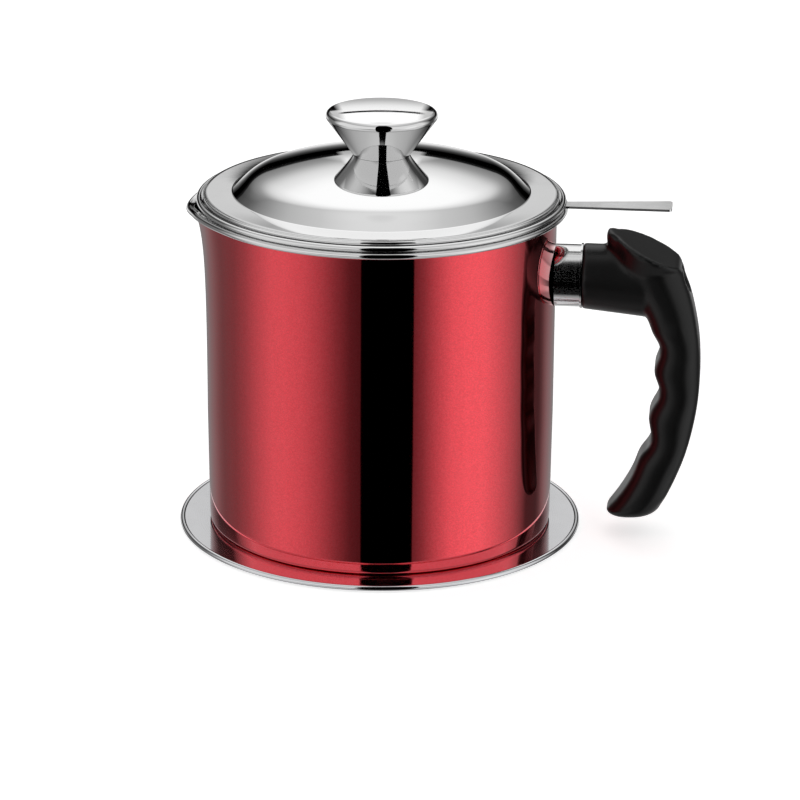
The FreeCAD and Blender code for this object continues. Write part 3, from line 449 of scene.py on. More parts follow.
def finish_piece(name, mesh, sharp):
    """Merge doubles, drop faces without area, and shade smooth but for the sharpest edges."""
    work = bmesh.new()
    work.from_mesh(mesh)
    bmesh.ops.remove_doubles(work, verts=work.verts, dist=MERGE_DISTANCE)
    bmesh.ops.dissolve_degenerate(work, edges=work.edges, dist=MERGE_DISTANCE)
    work.to_mesh(mesh)
    work.free()
    mesh.shade_smooth()
    mesh.set_sharp_from_angle(angle=math.radians(sharp))
    piece = bpy.data.objects.new(name, mesh)
    bpy.context.scene.collection.objects.link(piece)
    print(name, "has", len(mesh.polygons), "faces")
    return piece


ANGLES = np.linspace(0, 2 * np.pi, 360, endpoint=False)
print("turned surfaces have", len(ANGLES), "rows")

# %% [markdown]
# ## The pot
#
# A steel cup is drawn from sheet, its edge is flared and rolled outwards into a bead,
# and the spout is pressed out of wall and bead together. The wall of the spout starts
# 68 mm below the rim and leans out more and more, with a narrow nose in the middle of
# a broad swelling. Here the whole cup is one surface: at each angle the outline's wall
# and rim move out and down by a smooth hump of that angle, 1 in the spout's middle and
# 0 at its sides. The outline runs from the axis under the floor, up the outside, round
# the bead and down the inside to the axis again.

# %% The pot's sizes
POT_FOOT = 2.1
POT_RADIUS = 60.0
POT_SHEET = 0.6
POT_TAPER = 0.45  # the foot is narrower than the wall
POT_CORNER = 1.8
POT_STANDING_RING = 12.0
POT_FLOOR_RAISE = 0.8
POT_STRAIGHT = 4.0  # plain wall between taper and spout
RIM_TOP = POT_FOOT + 114.15
RIM_DROP = 0.2  # the flange lies below the bead's top
RIM_CURL = 1.1
RIM_OVERHANG = 3.8
RIM_SHOULDER = 1.4
SPOUT_DEPTH = 68.0
SPOUT_REACH = 3.2
SPOUT_FLARE = 1.25
SPOUT_DIP = 2.6
SPOUT_HALF_ANGLE = 43
NOSE_HALF_ANGLE = 18
SPOUT_FOOT_WIDTH = 0.35  # share of the half angles at the spout's foot
print("rim top at", RIM_TOP, "mm")


# %% The spout's swelling
def hump(angle, half_angle):
    """Half of one plus the cosine of the angle, stretched to fall to zero at the half angle."""
    share = np.clip(np.abs(angle) / half_angle, 0, 1)
    return 0.5 + 0.5 * np.cos(np.pi * share)


def spout_swelling(angle, height):
    """Broad hump and narrow nose, three to two, both narrower near the spout's foot."""
    narrowing = SPOUT_FOOT_WIDTH + (1 - SPOUT_FOOT_WIDTH) * height
    broad, nose = SPOUT_HALF_ANGLE * narrowing, NOSE_HALF_ANGLE * narrowing
    return 0.6 * hump(angle, broad) + 0.4 * hump(angle, nose)


# %% The pot's outline at every angle
def pot_outline(angles):
    """Rows of radius and height; the wall leans out by share squared and share to the eighth."""
    from_spout = np.degrees(angles - np.pi)[:, None]
    lip = spout_swelling(from_spout, 1.0)
    out, dip = SPOUT_REACH * lip, SPOUT_DIP * lip
    shoulder = RIM_SHOULDER - SPOUT_FLARE * lip
    flange_top = RIM_TOP - RIM_DROP
    under = flange_top - POT_SHEET
    seam = under - RIM_SHOULDER - SPOUT_DEPTH
    share = np.linspace(0, 1, 60)[None, :]
    leaning = 0.33 * share**2 + 0.67 * share**8
    lean = (SPOUT_REACH + SPOUT_FLARE) * leaning * spout_swelling(from_spout, share)
    wall_z = seam + (under - dip - shoulder - seam) * share
    curl_x, curl_z = POT_RADIUS + RIM_OVERHANG - RIM_CURL + out, RIM_TOP - RIM_CURL - dip
    start = math.degrees(math.asin((under - RIM_TOP + RIM_CURL) / RIM_CURL))
    stop = math.degrees(math.asin((flange_top - RIM_TOP + RIM_CURL) / RIM_CURL))
    curl_start = curl_x + RIM_CURL * math.cos(math.radians(180 - start))
    curl_stop = curl_x - RIM_CURL * math.cos(math.radians(stop))
    centre = (POT_RADIUS + RIM_SHOULDER + out, under - dip - shoulder)
    foot, inner = POT_RADIUS - POT_TAPER, POT_RADIUS - POT_SHEET
    corner = (foot - POT_CORNER, POT_FOOT + POT_CORNER)
    taper_top = seam - POT_STRAIGHT
    ring_in, raised = corner[0] - POT_STANDING_RING, POT_FOOT + POT_FLOOR_RAISE
    floor, plate = ring_in - POT_FLOOR_RAISE, POT_FOOT + POT_SHEET
    pieces = [
        run((0, raised), (floor, raised), 10),
        run((floor, raised), (ring_in, POT_FOOT), 3),
        run((ring_in, POT_FOOT), (corner[0], POT_FOOT), 6),
        arc(corner, POT_CORNER, -90, 0, 9),
        run((foot, corner[1]), (POT_RADIUS, taper_top), 12),
        run((POT_RADIUS, taper_top), (POT_RADIUS, seam), 2),
        (POT_RADIUS + lean, wall_z),
        arc(centre, shoulder, 180, 90, 7),
        run((centre[0], under - dip), (curl_start, under - dip), 3),
        arc((curl_x, curl_z), RIM_CURL, -180 - start, 180 - stop, 28),
        run((curl_stop, flange_top - dip), (centre[0], flange_top - dip), 3),
        arc(centre, shoulder + POT_SHEET, 90, 180, 7),
        (inner + lean[:, ::-1], wall_z[:, ::-1]),
        run((inner, seam), (inner, taper_top), 2),
        run((inner, taper_top), (foot - POT_SHEET, corner[1]), 12),
        arc(corner, POT_CORNER - POT_SHEET, 0, -90, 7),
        run((corner[0], plate), (ring_in, plate), 6),
        run((ring_in, plate), (floor, raised + POT_SHEET), 3),
        run((floor, raised + POT_SHEET), (0, raised + POT_SHEET), 10),
    ]
    return chain(pieces, len(angles))


# %% Build the pot
pot_x, pot_z, pot_marks = pot_outline(ANGLES)
painted = np.zeros(pot_x.shape[1] - 1, int)
painted[pot_marks[2] : pot_marks[8]] = 1
pot = spin("pot_shell_drawn", pot_x, pot_z, ANGLES, [RING_STEEL, LACQUER], painted)
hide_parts("pot_shell")
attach(pot, "pot")
print("the spout reaches", round(float(pot_x.max()), 2), "mm from the axis")

# %% [markdown]
# ## Drip tray
#
# A disc of thin sheet with its middle pressed down to the table, so that it stands
# flat, and its edge rolled under into a bead. The plate that carries the pot is 2.1 mm
# above the table. The bead is a full round, so its outline is one arc from the
# underside of the plate round to the plate's top.

# %% Build the tray
TRAY_RADIUS = 70.0
TRAY_CURL = 0.95
TRAY_SHEET = 0.6
TRAY_WELL = 46.0
TRAY_SHOULDER = 50.0
TRAY_CURL_Z = 1.55
tray_curl_x = TRAY_RADIUS - TRAY_CURL
tray_under = POT_FOOT - TRAY_SHEET
under_turn = math.degrees(math.asin((tray_under - TRAY_CURL_Z) / TRAY_CURL))
over_turn = math.degrees(math.asin((POT_FOOT - TRAY_CURL_Z) / TRAY_CURL))
under_x = tray_curl_x - TRAY_CURL * math.cos(math.radians(under_turn))
over_x = tray_curl_x - TRAY_CURL * math.cos(math.radians(over_turn))
tray_outline = [
    run((0, 0), (TRAY_WELL, 0), 12),
    run((TRAY_WELL, 0), (TRAY_SHOULDER, tray_under), 4),
    run((TRAY_SHOULDER, tray_under), (under_x, tray_under), 10),
    arc((tray_curl_x, TRAY_CURL_Z), TRAY_CURL, -180 - under_turn, 180 - over_turn, 28),
    run((over_x, POT_FOOT), (TRAY_SHOULDER, POT_FOOT), 14),
    run((TRAY_SHOULDER, POT_FOOT), (TRAY_WELL, TRAY_SHEET), 4),
    run((TRAY_WELL, TRAY_SHEET), (0, TRAY_SHEET), 12),
]
tray_x, tray_z, _ = chain(tray_outline, len(ANGLES))
tray = spin("drip_tray_spun", tray_x, tray_z, ANGLES, [TRAY_STEEL])
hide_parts("drip_tray")
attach(tray, "tray")

# %% [markdown]
# ## Strainer: ring and bowl
#
# The ring hangs on the pot's bead by its own rolled flange, and its skirt centres it in
# the pot. The bowl of wire mesh is held in the skirt by a hoop. It is a straight
# collar, a round knuckle and a shallow bottom, each arc running smoothly into the next,
# so the outline is worked out from the radii alone.

# %% Build the ring
STRAINER_TOP = 118.15
SKIRT_OUTSIDE = 58.5
STRAINER_SHEET = 0.6
SKIRT_FOOT = 110.55
STRAINER_CURL = 1.0
STRAINER_CURL_X, STRAINER_CURL_Z = 62.1, 117.35
under = STRAINER_TOP - STRAINER_SHEET
under_turn = math.degrees(math.asin((under - STRAINER_CURL_Z) / STRAINER_CURL))
over_turn = math.degrees(math.asin((STRAINER_TOP - STRAINER_CURL_Z) / STRAINER_CURL))
under_x = STRAINER_CURL_X - STRAINER_CURL * math.cos(math.radians(under_turn))
over_x = STRAINER_CURL_X - STRAINER_CURL * math.cos(math.radians(over_turn))
bend = (SKIRT_OUTSIDE + STRAINER_SHEET, under - STRAINER_SHEET)
skirt_inside = SKIRT_OUTSIDE - STRAINER_SHEET
ring_outline = [
    run((skirt_inside, SKIRT_FOOT), (SKIRT_OUTSIDE, SKIRT_FOOT), 2),
    run((SKIRT_OUTSIDE, SKIRT_FOOT), (SKIRT_OUTSIDE, bend[1]), 6),
    arc(bend, STRAINER_SHEET, 180, 90, 6),
    run((bend[0], under), (under_x, under), 4),
    arc((STRAINER_CURL_X, STRAINER_CURL_Z), STRAINER_CURL, -180 - under_turn, 180 - over_turn, 28),
    run((over_x, STRAINER_TOP), (bend[0], STRAINER_TOP), 5),
    arc(bend, 2 * STRAINER_SHEET, 90, 180, 8),
    run((skirt_inside, bend[1]), (skirt_inside, SKIRT_FOOT), 6),
]
ring_x, ring_z, _ = chain(ring_outline, len(ANGLES))
ring = spin("strainer_rim_rolled", ring_x, ring_z, ANGLES, [RING_STEEL])
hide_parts("strainer_rim")
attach(ring, "strainer")

# %% The bowl's outline
BOWL_RADIUS = 57.8
BOWL_KNUCKLE = 20.0
BOWL_DEPTH = 34.0
BOWL_COLLAR = 107.05
BOWL_TOP = 115.05
BOWL_SHEET = 0.5


def bowl_wall(inset):
    """Bottom arc, knuckle arc and collar, each moved inwards by the inset, from the axis up."""
    knuckle_x = BOWL_RADIUS - BOWL_KNUCKLE
    rest = BOWL_DEPTH - BOWL_KNUCKLE
    bottom = (knuckle_x**2 + BOWL_DEPTH**2 - BOWL_KNUCKLE**2) / (2 * rest)
    centre_z = BOWL_COLLAR - BOWL_DEPTH + bottom
    lean = math.degrees(math.atan2(knuckle_x, centre_z - BOWL_COLLAR))
    wall_x = BOWL_RADIUS - inset
    return [
        arc((0, centre_z), bottom - inset, -90, -90 + lean, 40),
        arc((knuckle_x, BOWL_COLLAR), BOWL_KNUCKLE - inset, -90 + lean, 0, 24),
        run((wall_x, BOWL_COLLAR), (wall_x, BOWL_TOP), 6),
    ]


# %% Build the bowl
outer_wall, inner_wall = bowl_wall(0.0), bowl_wall(BOWL_SHEET)
lip = run((BOWL_RADIUS, BOWL_TOP), (BOWL_RADIUS - BOWL_SHEET, BOWL_TOP), 2)
way_back = [(x[::-1], z[::-1]) for x, z in inner_wall[::-1]]
bowl_x, bowl_z, _ = chain([*outer_wall, lip, *way_back], len(ANGLES))
bowl = spin("strainer_mesh_woven", bowl_x, bowl_z, ANGLES, [WIRE], disc_map=True)
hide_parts("strainer_mesh")
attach(bowl, "strainer")
print("bowl hangs down to", round(float(bowl_z.min()), 2), "mm")

# %% [markdown]
# ## Lid
#
# The lid is pressed from one sheet: a shallow dome falls ever more steeply to a soft
# step, then turns out into a flat flange. A rolled bead is tucked in under the flange's
# edge. What the eye reads in a mirror is slope, so the step is drawn by its slope at
# each radius, and the height follows by adding up the tangent of the slope from the
# dome outwards. The underside lies one sheet below, square to the surface.

# %% Lid slopes
LID_FLANGE_TOP = 119.85
LID_SHEET = 0.6
LID_HOLE = 2.2
DOME_RADIUS = 136.25
DOME_TOP = 132.838
DOME_EDGE = 39.0
FLANGE_END = 59.8
LID_SLOPES = [
    # radius and slope in degrees, from the dome's edge outwards
    (DOME_EDGE, 16.63),
    (40.5, 19.0),
    (42.0, 22.5),
    (43.5, 27.0),
    (45.0, 32.5),
    (46.5, 38.0),
    (47.7, 40.0),
    (48.6, 41.5),
    (50.6, 41.5),
    (50.85, 20.0),
    (51.1, 1.2),
    (54.0, 0.6),
    (57.0, 0.2),
    (FLANGE_END, 0.0),
]
STEP_RUNS = [
    # first and last radius, and points: close together where the step meets the flange
    (DOME_EDGE, 50.4, 44),
    (50.5, 51.2, 22),
    (51.7, FLANGE_END, 10),
]
table_radius, table_slope = np.array(LID_SLOPES).T
step_x = np.concatenate([np.linspace(*radii) for radii in STEP_RUNS])
step_slope = np.radians(np.interp(step_x, table_radius, table_slope))
falls = np.diff(step_x) * np.tan((step_slope[1:] + step_slope[:-1]) / 2)
drop = np.concatenate([[0], np.cumsum(falls)])
step_start = DOME_TOP - DOME_RADIUS + math.sqrt(DOME_RADIUS**2 - DOME_EDGE**2)
step_z = step_start - drop
print("flange comes out at", round(float(step_z[-1]), 3), "mm, wanted", LID_FLANGE_TOP)
step_z += (LID_FLANGE_TOP - step_z[-1]) * drop / drop[-1]

# %% Lid outline
BEAD_GAP = 0.5
BEAD_TUCK = 0.08
BEAD_CENTRE = (60.4, 118.85)
BEAD_HEIGHT = 0.65
BEAD_SQUASH = 0.45 / BEAD_HEIGHT
EDGE_ROUND = 0.25
dome_x = np.linspace(LID_HOLE, DOME_EDGE, 30)
dome_z = DOME_TOP - DOME_RADIUS + np.sqrt(DOME_RADIUS**2 - dome_x**2)
top_x = np.concatenate([dome_x, step_x[1:]])
top_z = np.concatenate([dome_z, step_z[1:]])
top_slope = np.concatenate([np.arcsin(dome_x / DOME_RADIUS), step_slope[1:]])
low_x = top_x - LID_SHEET * np.sin(top_slope)
low_z = top_z - LID_SHEET * np.cos(top_slope)
low_x[0] = LID_HOLE
inside = low_x < FLANGE_END - BEAD_GAP
bead = arc(BEAD_CENTRE, BEAD_HEIGHT, 160, 480, 30, squash=BEAD_SQUASH)
bead_end = (bead[0][-1], bead[1][-1])
wall_x, wall_top = FLANGE_END + EDGE_ROUND, LID_FLANGE_TOP - EDGE_ROUND
wall_foot = (wall_x, bead_end[1] - BEAD_TUCK)
lid_outline = [
    (low_x[inside], low_z[inside]),
    run((low_x[inside][-1], low_z[inside][-1]), (bead[0][0], bead[1][0]), 3),
    bead,
    run(bead_end, wall_foot, 2),
    run(wall_foot, (wall_x, wall_top), 3),
    arc((FLANGE_END, wall_top), EDGE_ROUND, 0, 90, 7),
    (top_x[::-1], top_z[::-1]),
    run((LID_HOLE, top_z[0]), (LID_HOLE, low_z[0]), 2),
]
lid_x, lid_z, _ = chain(lid_outline, len(ANGLES))
lid = spin("lid_shell_pressed", lid_x, lid_z, ANGLES, [MIRROR])
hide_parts("lid_shell")
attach(lid, "lid")

# %% [markdown]
# ## Grip
#
# The grip is one moulding: a neck that swells out of the collar, a bow with finger
# grooves, and a thumb rest on top. In the solid these forms meet in creases, but a
# mould maker blends them with soft fillets. So a copy of the solid's mesh is merged,
# given even small faces by a voxel remesh, and smoothed: strongly under the thumb
# rest, where the forms meet, and only a little elsewhere, so that the flat keeps its
# edge. The copy is the piece that shows; the solid itself stays as it is.

# %% Remesh the grip
VOXEL = 0.55
GRIP_MERGE_DISTANCE = 1e-6
grip_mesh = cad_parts["handle_grip"].data.copy()
grip_work = bmesh.new()
grip_work.from_mesh(grip_mesh)
bmesh.ops.remove_doubles(grip_work, verts=grip_work.verts, dist=GRIP_MERGE_DISTANCE)
grip_work.to_mesh(grip_mesh)
grip_work.free()
raw_grip = bpy.data.objects.new("grip_raw", grip_mesh)
bpy.context.scene.collection.objects.link(raw_grip)
voxels = raw_grip.modifiers.new("voxels", "REMESH")
voxels.mode, voxels.voxel_size = "VOXEL", VOXEL * MM
depsgraph = bpy.context.evaluated_depsgraph_get()
even = bpy.data.meshes.new_from_object(raw_grip.evaluated_get(depsgraph))
bpy.data.objects.remove(raw_grip)
even.name = "handle_grip_moulded"
print("remeshed grip has", len(even.polygons), "faces")

# %% Smooth the grip
BLEND_MIDDLE = (88.0, 0.0, 104.0)
BLEND_REACH = 13.0
BLEND_PLATEAU = 0.4
LEAST_BLEND = 0.12
SMOOTH_ROUNDS = 36
SMOOTH_STEP = 0.5


def smooth_weights(points):
    """Weight 1 in a soft ball under the thumb rest, and a small even weight elsewhere."""
    middle, reach = np.array(BLEND_MIDDLE) * MM, BLEND_REACH * MM
    distance = np.linalg.norm(points - middle, axis=1) / reach
    return np.clip(1 + BLEND_PLATEAU - distance, LEAST_BLEND, 1.0)


grip_points = np.empty(len(even.vertices) * 3)
even.vertices.foreach_get("co", grip_points)
grip_points = grip_points.reshape(-1, 3)
grip_edges = np.empty(len(even.edges) * 2, int)
even.edges.foreach_get("vertices", grip_edges)
grip_edges = grip_edges.reshape(-1, 2)
weights = smooth_weights(grip_points)[:, None]
near_ends, far_ends = grip_edges.ravel(), grip_edges[:, ::-1].ravel()
count = len(grip_points)
links_of = np.bincount(near_ends, minlength=count)[:, None]
for _ in range(SMOOTH_ROUNDS):
    total = np.zeros_like(grip_points)
    for axis in range(3):
        total[:, axis] = np.bincount(near_ends, grip_points[far_ends, axis], count)
    grip_points += SMOOTH_STEP * weights * (total / links_of - grip_points)
even.vertices.foreach_set("co", grip_points.ravel())
even.materials.clear()
even.materials.append(BAKELITE)
grip = finish_piece("handle_grip_moulded", even, sharp=60)
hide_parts("handle_grip")
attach(grip, "pot")

# %% [markdown]
# ## Camera
#
# A short tele lens from a little above, as a product picture is taken, 1.25 m away.
# The handle points right and away from the camera by a few degrees.

# %% Camera
CAMERA_PLACE = Vector((0.1200, -1.1788, 0.4558))
VIEW_TURN, VIEW_TILT, VIEW_ROLL = (math.radians(angle) for angle in (5.4825, 19.161, 0.384))
right = Vector((math.cos(VIEW_TURN), math.sin(VIEW_TURN), 0))
forward = Vector(
    (
        -math.sin(VIEW_TURN) * math.cos(VIEW_TILT),
        math.cos(VIEW_TURN) * math.cos(VIEW_TILT),
        -math.sin(VIEW_TILT),
    )
)
up = right.cross(forward)
rolled_right = right * math.cos(VIEW_ROLL) + up * math.sin(VIEW_ROLL)
rolled_up = up * math.cos(VIEW_ROLL) - right * math.sin(VIEW_ROLL)
lens = bpy.data.cameras.new("camera")
lens.lens = 162.24
lens.sensor_width = 36.0
lens.clip_start = 0.01
camera = bpy.data.objects.new("camera", lens)
stance = Matrix((rolled_right, rolled_up, -forward)).transposed().to_4x4()
camera.matrix_world = Matrix.Translation(CAMERA_PLACE) @ stance
bpy.context.scene.collection.objects.link(camera)
bpy.context.scene.camera = camera
print("camera looks down by", round(math.degrees(VIEW_TILT), 1), "degrees")

# %% [markdown]
# ## Floor
#
# A sheet of white paper. It is left out of the mirror images, so that the studio's
# bands run down to the pot's foot, and a little light of its own, seen by the camera
# alone, lifts it to white round the object's shadow.

# %% Floor
FLOOR_LIFT = 0.62
FLOOR_HALF = 3.0
floor_signs = ((-1, -1), (1, -1), (1, 1), (-1, 1))
floor_corners = [(x * FLOOR_HALF, y * FLOOR_HALF, 0) for x, y in floor_signs]
floor_mesh = bpy.data.meshes.new("floor")
floor_mesh.from_pydata(floor_corners, [], [(0, 1, 2, 3)])
floor = bpy.data.objects.new("floor", floor_mesh)
bpy.context.scene.collection.objects.link(floor)
floor_finish, floor_tree, floor_shader = new_finish("white_paper", Roughness=0.9)
floor_shader.inputs["Base Color"].default_value = linear("#F4F4F4")
seen = add_node(floor_tree, "LightPath").outputs["Is Camera Ray"]
lift = add_node(floor_tree, "Math", {0: seen}, operation="MULTIPLY", inputs={1: FLOOR_LIFT})
floor_shader.inputs["Emission Color"].default_value = (1, 1, 1, 1)
floor_tree.links.new(lift.outputs["Value"], floor_shader.inputs["Emission Strength"])
floor_mesh.materials.append(floor_finish)
floor.visible_glossy = False
print("floor is", 2 * FLOOR_HALF, "m square")

# %% [markdown]
# ## Studio
#
# Polished metal shows the room it stands in, and only the direction counts. A product
# studio for such a pot has a long softbox on each side of the camera and a narrow
# black flag between them, which gives the metal its dark line. A large white panel
# hangs high behind the pot, over a dark gap, and straight behind the pot its lower edge
# is bright. White boards over and under the softboxes fill the rest of the front,
# overhead is an even, weaker white, and the table round the pot is pale. The world is
# the brightest of these in each direction, and black where the flag stands.

# %% Studio bands at table height
STUDIO_BANDS = [
    # degrees right of the camera, seen from the pot, and brightness
    (-180, 0.30),
    (-150, 0.24),
    (-128, 0.17),
    (-112, 0.22),
    (-100, 0.34),
    (-87, 0.56),
    (-76, 0.74),
    (-66, 0.76),
    (-53, 0.66),
    (-41, 0.46),
    (-30, 0.25),
    (-20, 0.11),
    (-14, 0.08),
    (22, 0.15),
    (28, 0.26),
    (36, 0.5),
    (48, 0.86),
    (60, 0.99),
    (72, 0.98),
    (84, 0.76),
    (98, 0.46),
    (108, 0.24),
    (116, 0.07),
    (130, 0.06),
    (150, 0.24),
    (180, 0.30),
]
print("softboxes peak at", max(level for _, level in STUDIO_BANDS))

# %% Levels by height
BEHIND_LEVELS = [
    # degrees above level, and brightness behind the pot
    (-90, 0.8),
    (-36, 0.8),
    (-28, 0.3),
    (-17, 0.22),
    (-13, 0.6),
    (-10, 0.95),
    (-6, 0.85),
    (-3, 0.6),
    (-1, 0.35),
    (1, 0.18),
    (4, 0.05),
    (7, 0.0),
    (90, 0.0),
]
AROUND_LEVELS = [
    # and on all sides above the softboxes
    (-90, 0.0),
    (12, 0.0),
    (20, 0.04),
    (29, 0.175),
    (38, 0.34),
    (50, 0.56),
    (64, 0.68),
    (78, 0.85),
    (84, 0.86),
    (90, 0.78),
]
PANEL_LEVELS = [
    # degrees from the panel's middle, and brightness
    (0, 1.22),
    (15, 1.20),
    (19, 1.10),
    (22, 0.97),
    (24, 0.90),
    (26, 0.80),
    (28, 0.66),
    (30, 0.50),
    (32, 0.37),
    (34, 0.30),
    (36, 0.25),
    (40, 0.12),
    (46, 0.0),
    (180, 0.0),
]
EDGE_LEVELS = [
    # degrees off straight behind, and brightness of the panel's lower edge
    (0, 0.85),
    (0.8, 0.80),
    (1.9, 0.42),
    (2.6, 0.70),
    (3.6, 0.75),
    (7.0, 0.0),
    (180, 0.0),
]
PANEL_HEIGHT = 51.0
FRONT_LEVEL = 0.85
TABLE_LEVEL = 0.40
print("panel hangs", PANEL_HEIGHT, "degrees up")

# %% Soft edges, in degrees where each begins and ends
BANDS_FADE = (5, 18)
BOARDS_OVER_BANDS = (-12, -8)
BOARDS_UNDER_BANDS = (-26, -30)
BOARDS_TOP = (35, 50)
BOARDS_SIDE = (62, 85)
BEHIND_SIDE = (30, 45)
PANEL_FOOT = (14.6, 15.4)
PANEL_EDGE_TOP = (24, 27)
PANEL_EDGE_SPAN = 10
TABLE_EDGE = (-40, -50)
FLAG_MIDDLE = 4.3
FLAG_SIDE = (17.1, 17.3)
FLAG_TOP = (73, 78)
FLAG_FOOT = (-60, -74)
print("flag is", round(sum(FLAG_SIDE), 1), "degrees wide")


# %% World nodes
def level_stops(levels, wave=math.sin):
    """An angle in degrees becomes its sine or cosine; -1 to 1 becomes 0 to 1 along the ramp."""
    return [((wave(math.radians(angle)) + 1) / 2, grey(level)) for angle, level in levels]


def rise(first, last, low=0.0, high=1.0):
    """MapRange values that go from low to high between the sines of two heights in degrees."""
    ends = {"From Min": math.sin(math.radians(first)), "From Max": math.sin(math.radians(last))}
    return ends | {"To Min": low, "To Max": high}


def sweep(first, last, low=0.0, high=1.0):
    """MapRange values that go from low to high between two turns round the pot in degrees."""
    ends = {"From Min": math.radians(first), "From Max": math.radians(last)}
    return ends | {"To Min": low, "To Max": high}


def studio_world():
    """Brightest of softboxes, panel and overhead in each direction, and black on the flag."""
    world = bpy.data.worlds.new("studio")
    world.use_nodes = True
    tree = world.node_tree
    direction = add_node(tree, "TexCoord").outputs["Generated"]
    parts = add_node(tree, "SeparateXYZ", {"Vector": direction})
    level = parts.outputs["Z"]
    flat = {0: parts.outputs["Y"], 1: parts.outputs["X"]}
    around = add_node(tree, "Math", flat, operation="ARCTAN2")
    camera_turn = math.atan2(CAMERA_PLACE.y, CAMERA_PLACE.x)
    shifted = add_node(tree, "Math", {0: around}, operation="SUBTRACT", inputs={1: camera_turn})
    ends = {1: math.pi, 2: -math.pi}
    turned = add_node(tree, "Math", {0: shifted}, operation="WRAP", inputs=ends)
    share = add_node(tree, "MapRange", {"Value": turned}, inputs=sweep(-180, 180))
    height = add_node(tree, "MapRange", {"Value": level}, inputs=rise(-90, 90))
    band_stops = [((angle + 180) / 360, grey(bright)) for angle, bright in STUDIO_BANDS]
    bands = add_node(tree, "ValToRGB", {"Fac": share}, stops=band_stops)
    behind, above = (
        add_node(tree, "ValToRGB", {"Fac": height}, stops=level_stops(levels))
        for levels in (BEHIND_LEVELS, AROUND_LEVELS)
    )

    # the bands lie low; in front, white boards over and under them fill the softboxes
    fade = add_node(tree, "MapRange", {"Value": level}, inputs=rise(*BANDS_FADE, 1.0, 0.0))
    sides = add_node(tree, "VectorMath", {0: bands, 1: fade}, operation="MULTIPLY")
    off_camera = add_node(tree, "Math", {0: turned}, operation="ABSOLUTE")
    half_turn = {0: math.pi}
    off_behind = add_node(tree, "Math", {1: off_camera}, operation="SUBTRACT", inputs=half_turn)
    front_side = sweep(*BOARDS_SIDE, 0.0, FRONT_LEVEL)
    front = add_node(tree, "MapRange", {"Value": off_behind}, inputs=front_side)
    over_bands = add_node(tree, "MapRange", {"Value": level}, inputs=rise(*BOARDS_OVER_BANDS))
    under_bands = add_node(tree, "MapRange", {"Value": level}, inputs=rise(*BOARDS_UNDER_BANDS))
    outside = add_node(tree, "Math", {0: over_bands, 1: under_bands}, operation="MAXIMUM")
    top = add_node(tree, "MapRange", {"Value": level}, inputs=rise(*BOARDS_TOP, 1.0, 0.0))
    held = add_node(tree, "Math", {0: outside, 1: top}, operation="MULTIPLY")
    boards = add_node(tree, "Math", {0: held, 1: front}, operation="MULTIPLY")
    filled = add_node(tree, "VectorMath", {0: sides, 1: boards}, operation="MAXIMUM")

    # behind the pot the table's far edge takes the bands' place
    back_side = sweep(*BEHIND_SIDE, 1.0, 0.0)
    back = add_node(tree, "MapRange", {"Value": off_behind}, inputs=back_side)
    low = add_node(tree, "MixRGB", {"Color1": filled, "Color2": behind, "Fac": back})

    # the panel by the angle from its middle, with a bright lower edge, cut off level at its foot
    panel_turn, panel_rise = camera_turn + math.pi, math.radians(PANEL_HEIGHT)
    panel_way = (
        math.cos(panel_turn) * math.cos(panel_rise),
        math.sin(panel_turn) * math.cos(panel_rise),
        math.sin(panel_rise),
    )
    way = {1: panel_way}
    aim = add_node(tree, "VectorMath", {0: direction}, operation="DOT_PRODUCT", inputs=way)
    near = add_node(tree, "MapRange", {"Value": aim.outputs["Value"]}, inputs=rise(-90, 90))
    panel_stops = level_stops(PANEL_LEVELS, math.cos)
    panel = add_node(tree, "ValToRGB", {"Fac": near}, stops=panel_stops)
    edge_span = sweep(0, PANEL_EDGE_SPAN)
    off_share = add_node(tree, "MapRange", {"Value": off_behind}, inputs=edge_span)
    edge_stops = [(min(angle / PANEL_EDGE_SPAN, 1.0), grey(glow)) for angle, glow in EDGE_LEVELS]
    edge = add_node(tree, "ValToRGB", {"Fac": off_share}, stops=edge_stops)
    edge_top_rise = rise(*PANEL_EDGE_TOP, 1.0, 0.0)
    edge_top = add_node(tree, "MapRange", {"Value": level}, inputs=edge_top_rise)
    bright = add_node(tree, "VectorMath", {0: edge, 1: edge_top}, operation="MULTIPLY")
    wide = add_node(tree, "VectorMath", {0: panel, 1: bright}, operation="MAXIMUM")
    foot = add_node(tree, "MapRange", {"Value": level}, inputs=rise(*PANEL_FOOT))
    cut = add_node(tree, "VectorMath", {0: wide, 1: foot}, operation="MULTIPLY")

    # the brightest of panel, overhead and sides, and the pale table below
    upper = add_node(tree, "VectorMath", {0: cut, 1: above}, operation="MAXIMUM")
    both = add_node(tree, "VectorMath", {0: upper, 1: low}, operation="MAXIMUM")
    down = add_node(tree, "MapRange", {"Value": level}, inputs=rise(*TABLE_EDGE))
    table = {"Color2": grey(TABLE_LEVEL)}
    room = add_node(tree, "MixRGB", {"Fac": down, "Color1": both}, inputs=table)

    # the flag takes away what is behind it, between its foot and its top
    middle = {1: math.radians(FLAG_MIDDLE)}
    off_middle = add_node(tree, "Math", {0: turned}, operation="SUBTRACT", inputs=middle)
    distance = add_node(tree, "Math", {0: off_middle}, operation="ABSOLUTE")
    beside = add_node(tree, "MapRange", {"Value": distance}, inputs=sweep(*FLAG_SIDE))
    over = add_node(tree, "MapRange", {"Value": level}, inputs=rise(*FLAG_TOP))
    below = add_node(tree, "MapRange", {"Value": level}, inputs=rise(*FLAG_FOOT))
    beyond = add_node(tree, "Math", {0: over, 1: below}, operation="MAXIMUM")
    free = add_node(tree, "Math", {0: beside, 1: beyond}, operation="MAXIMUM")
    lit = add_node(tree, "VectorMath", {0: room, 1: free}, operation="MULTIPLY")

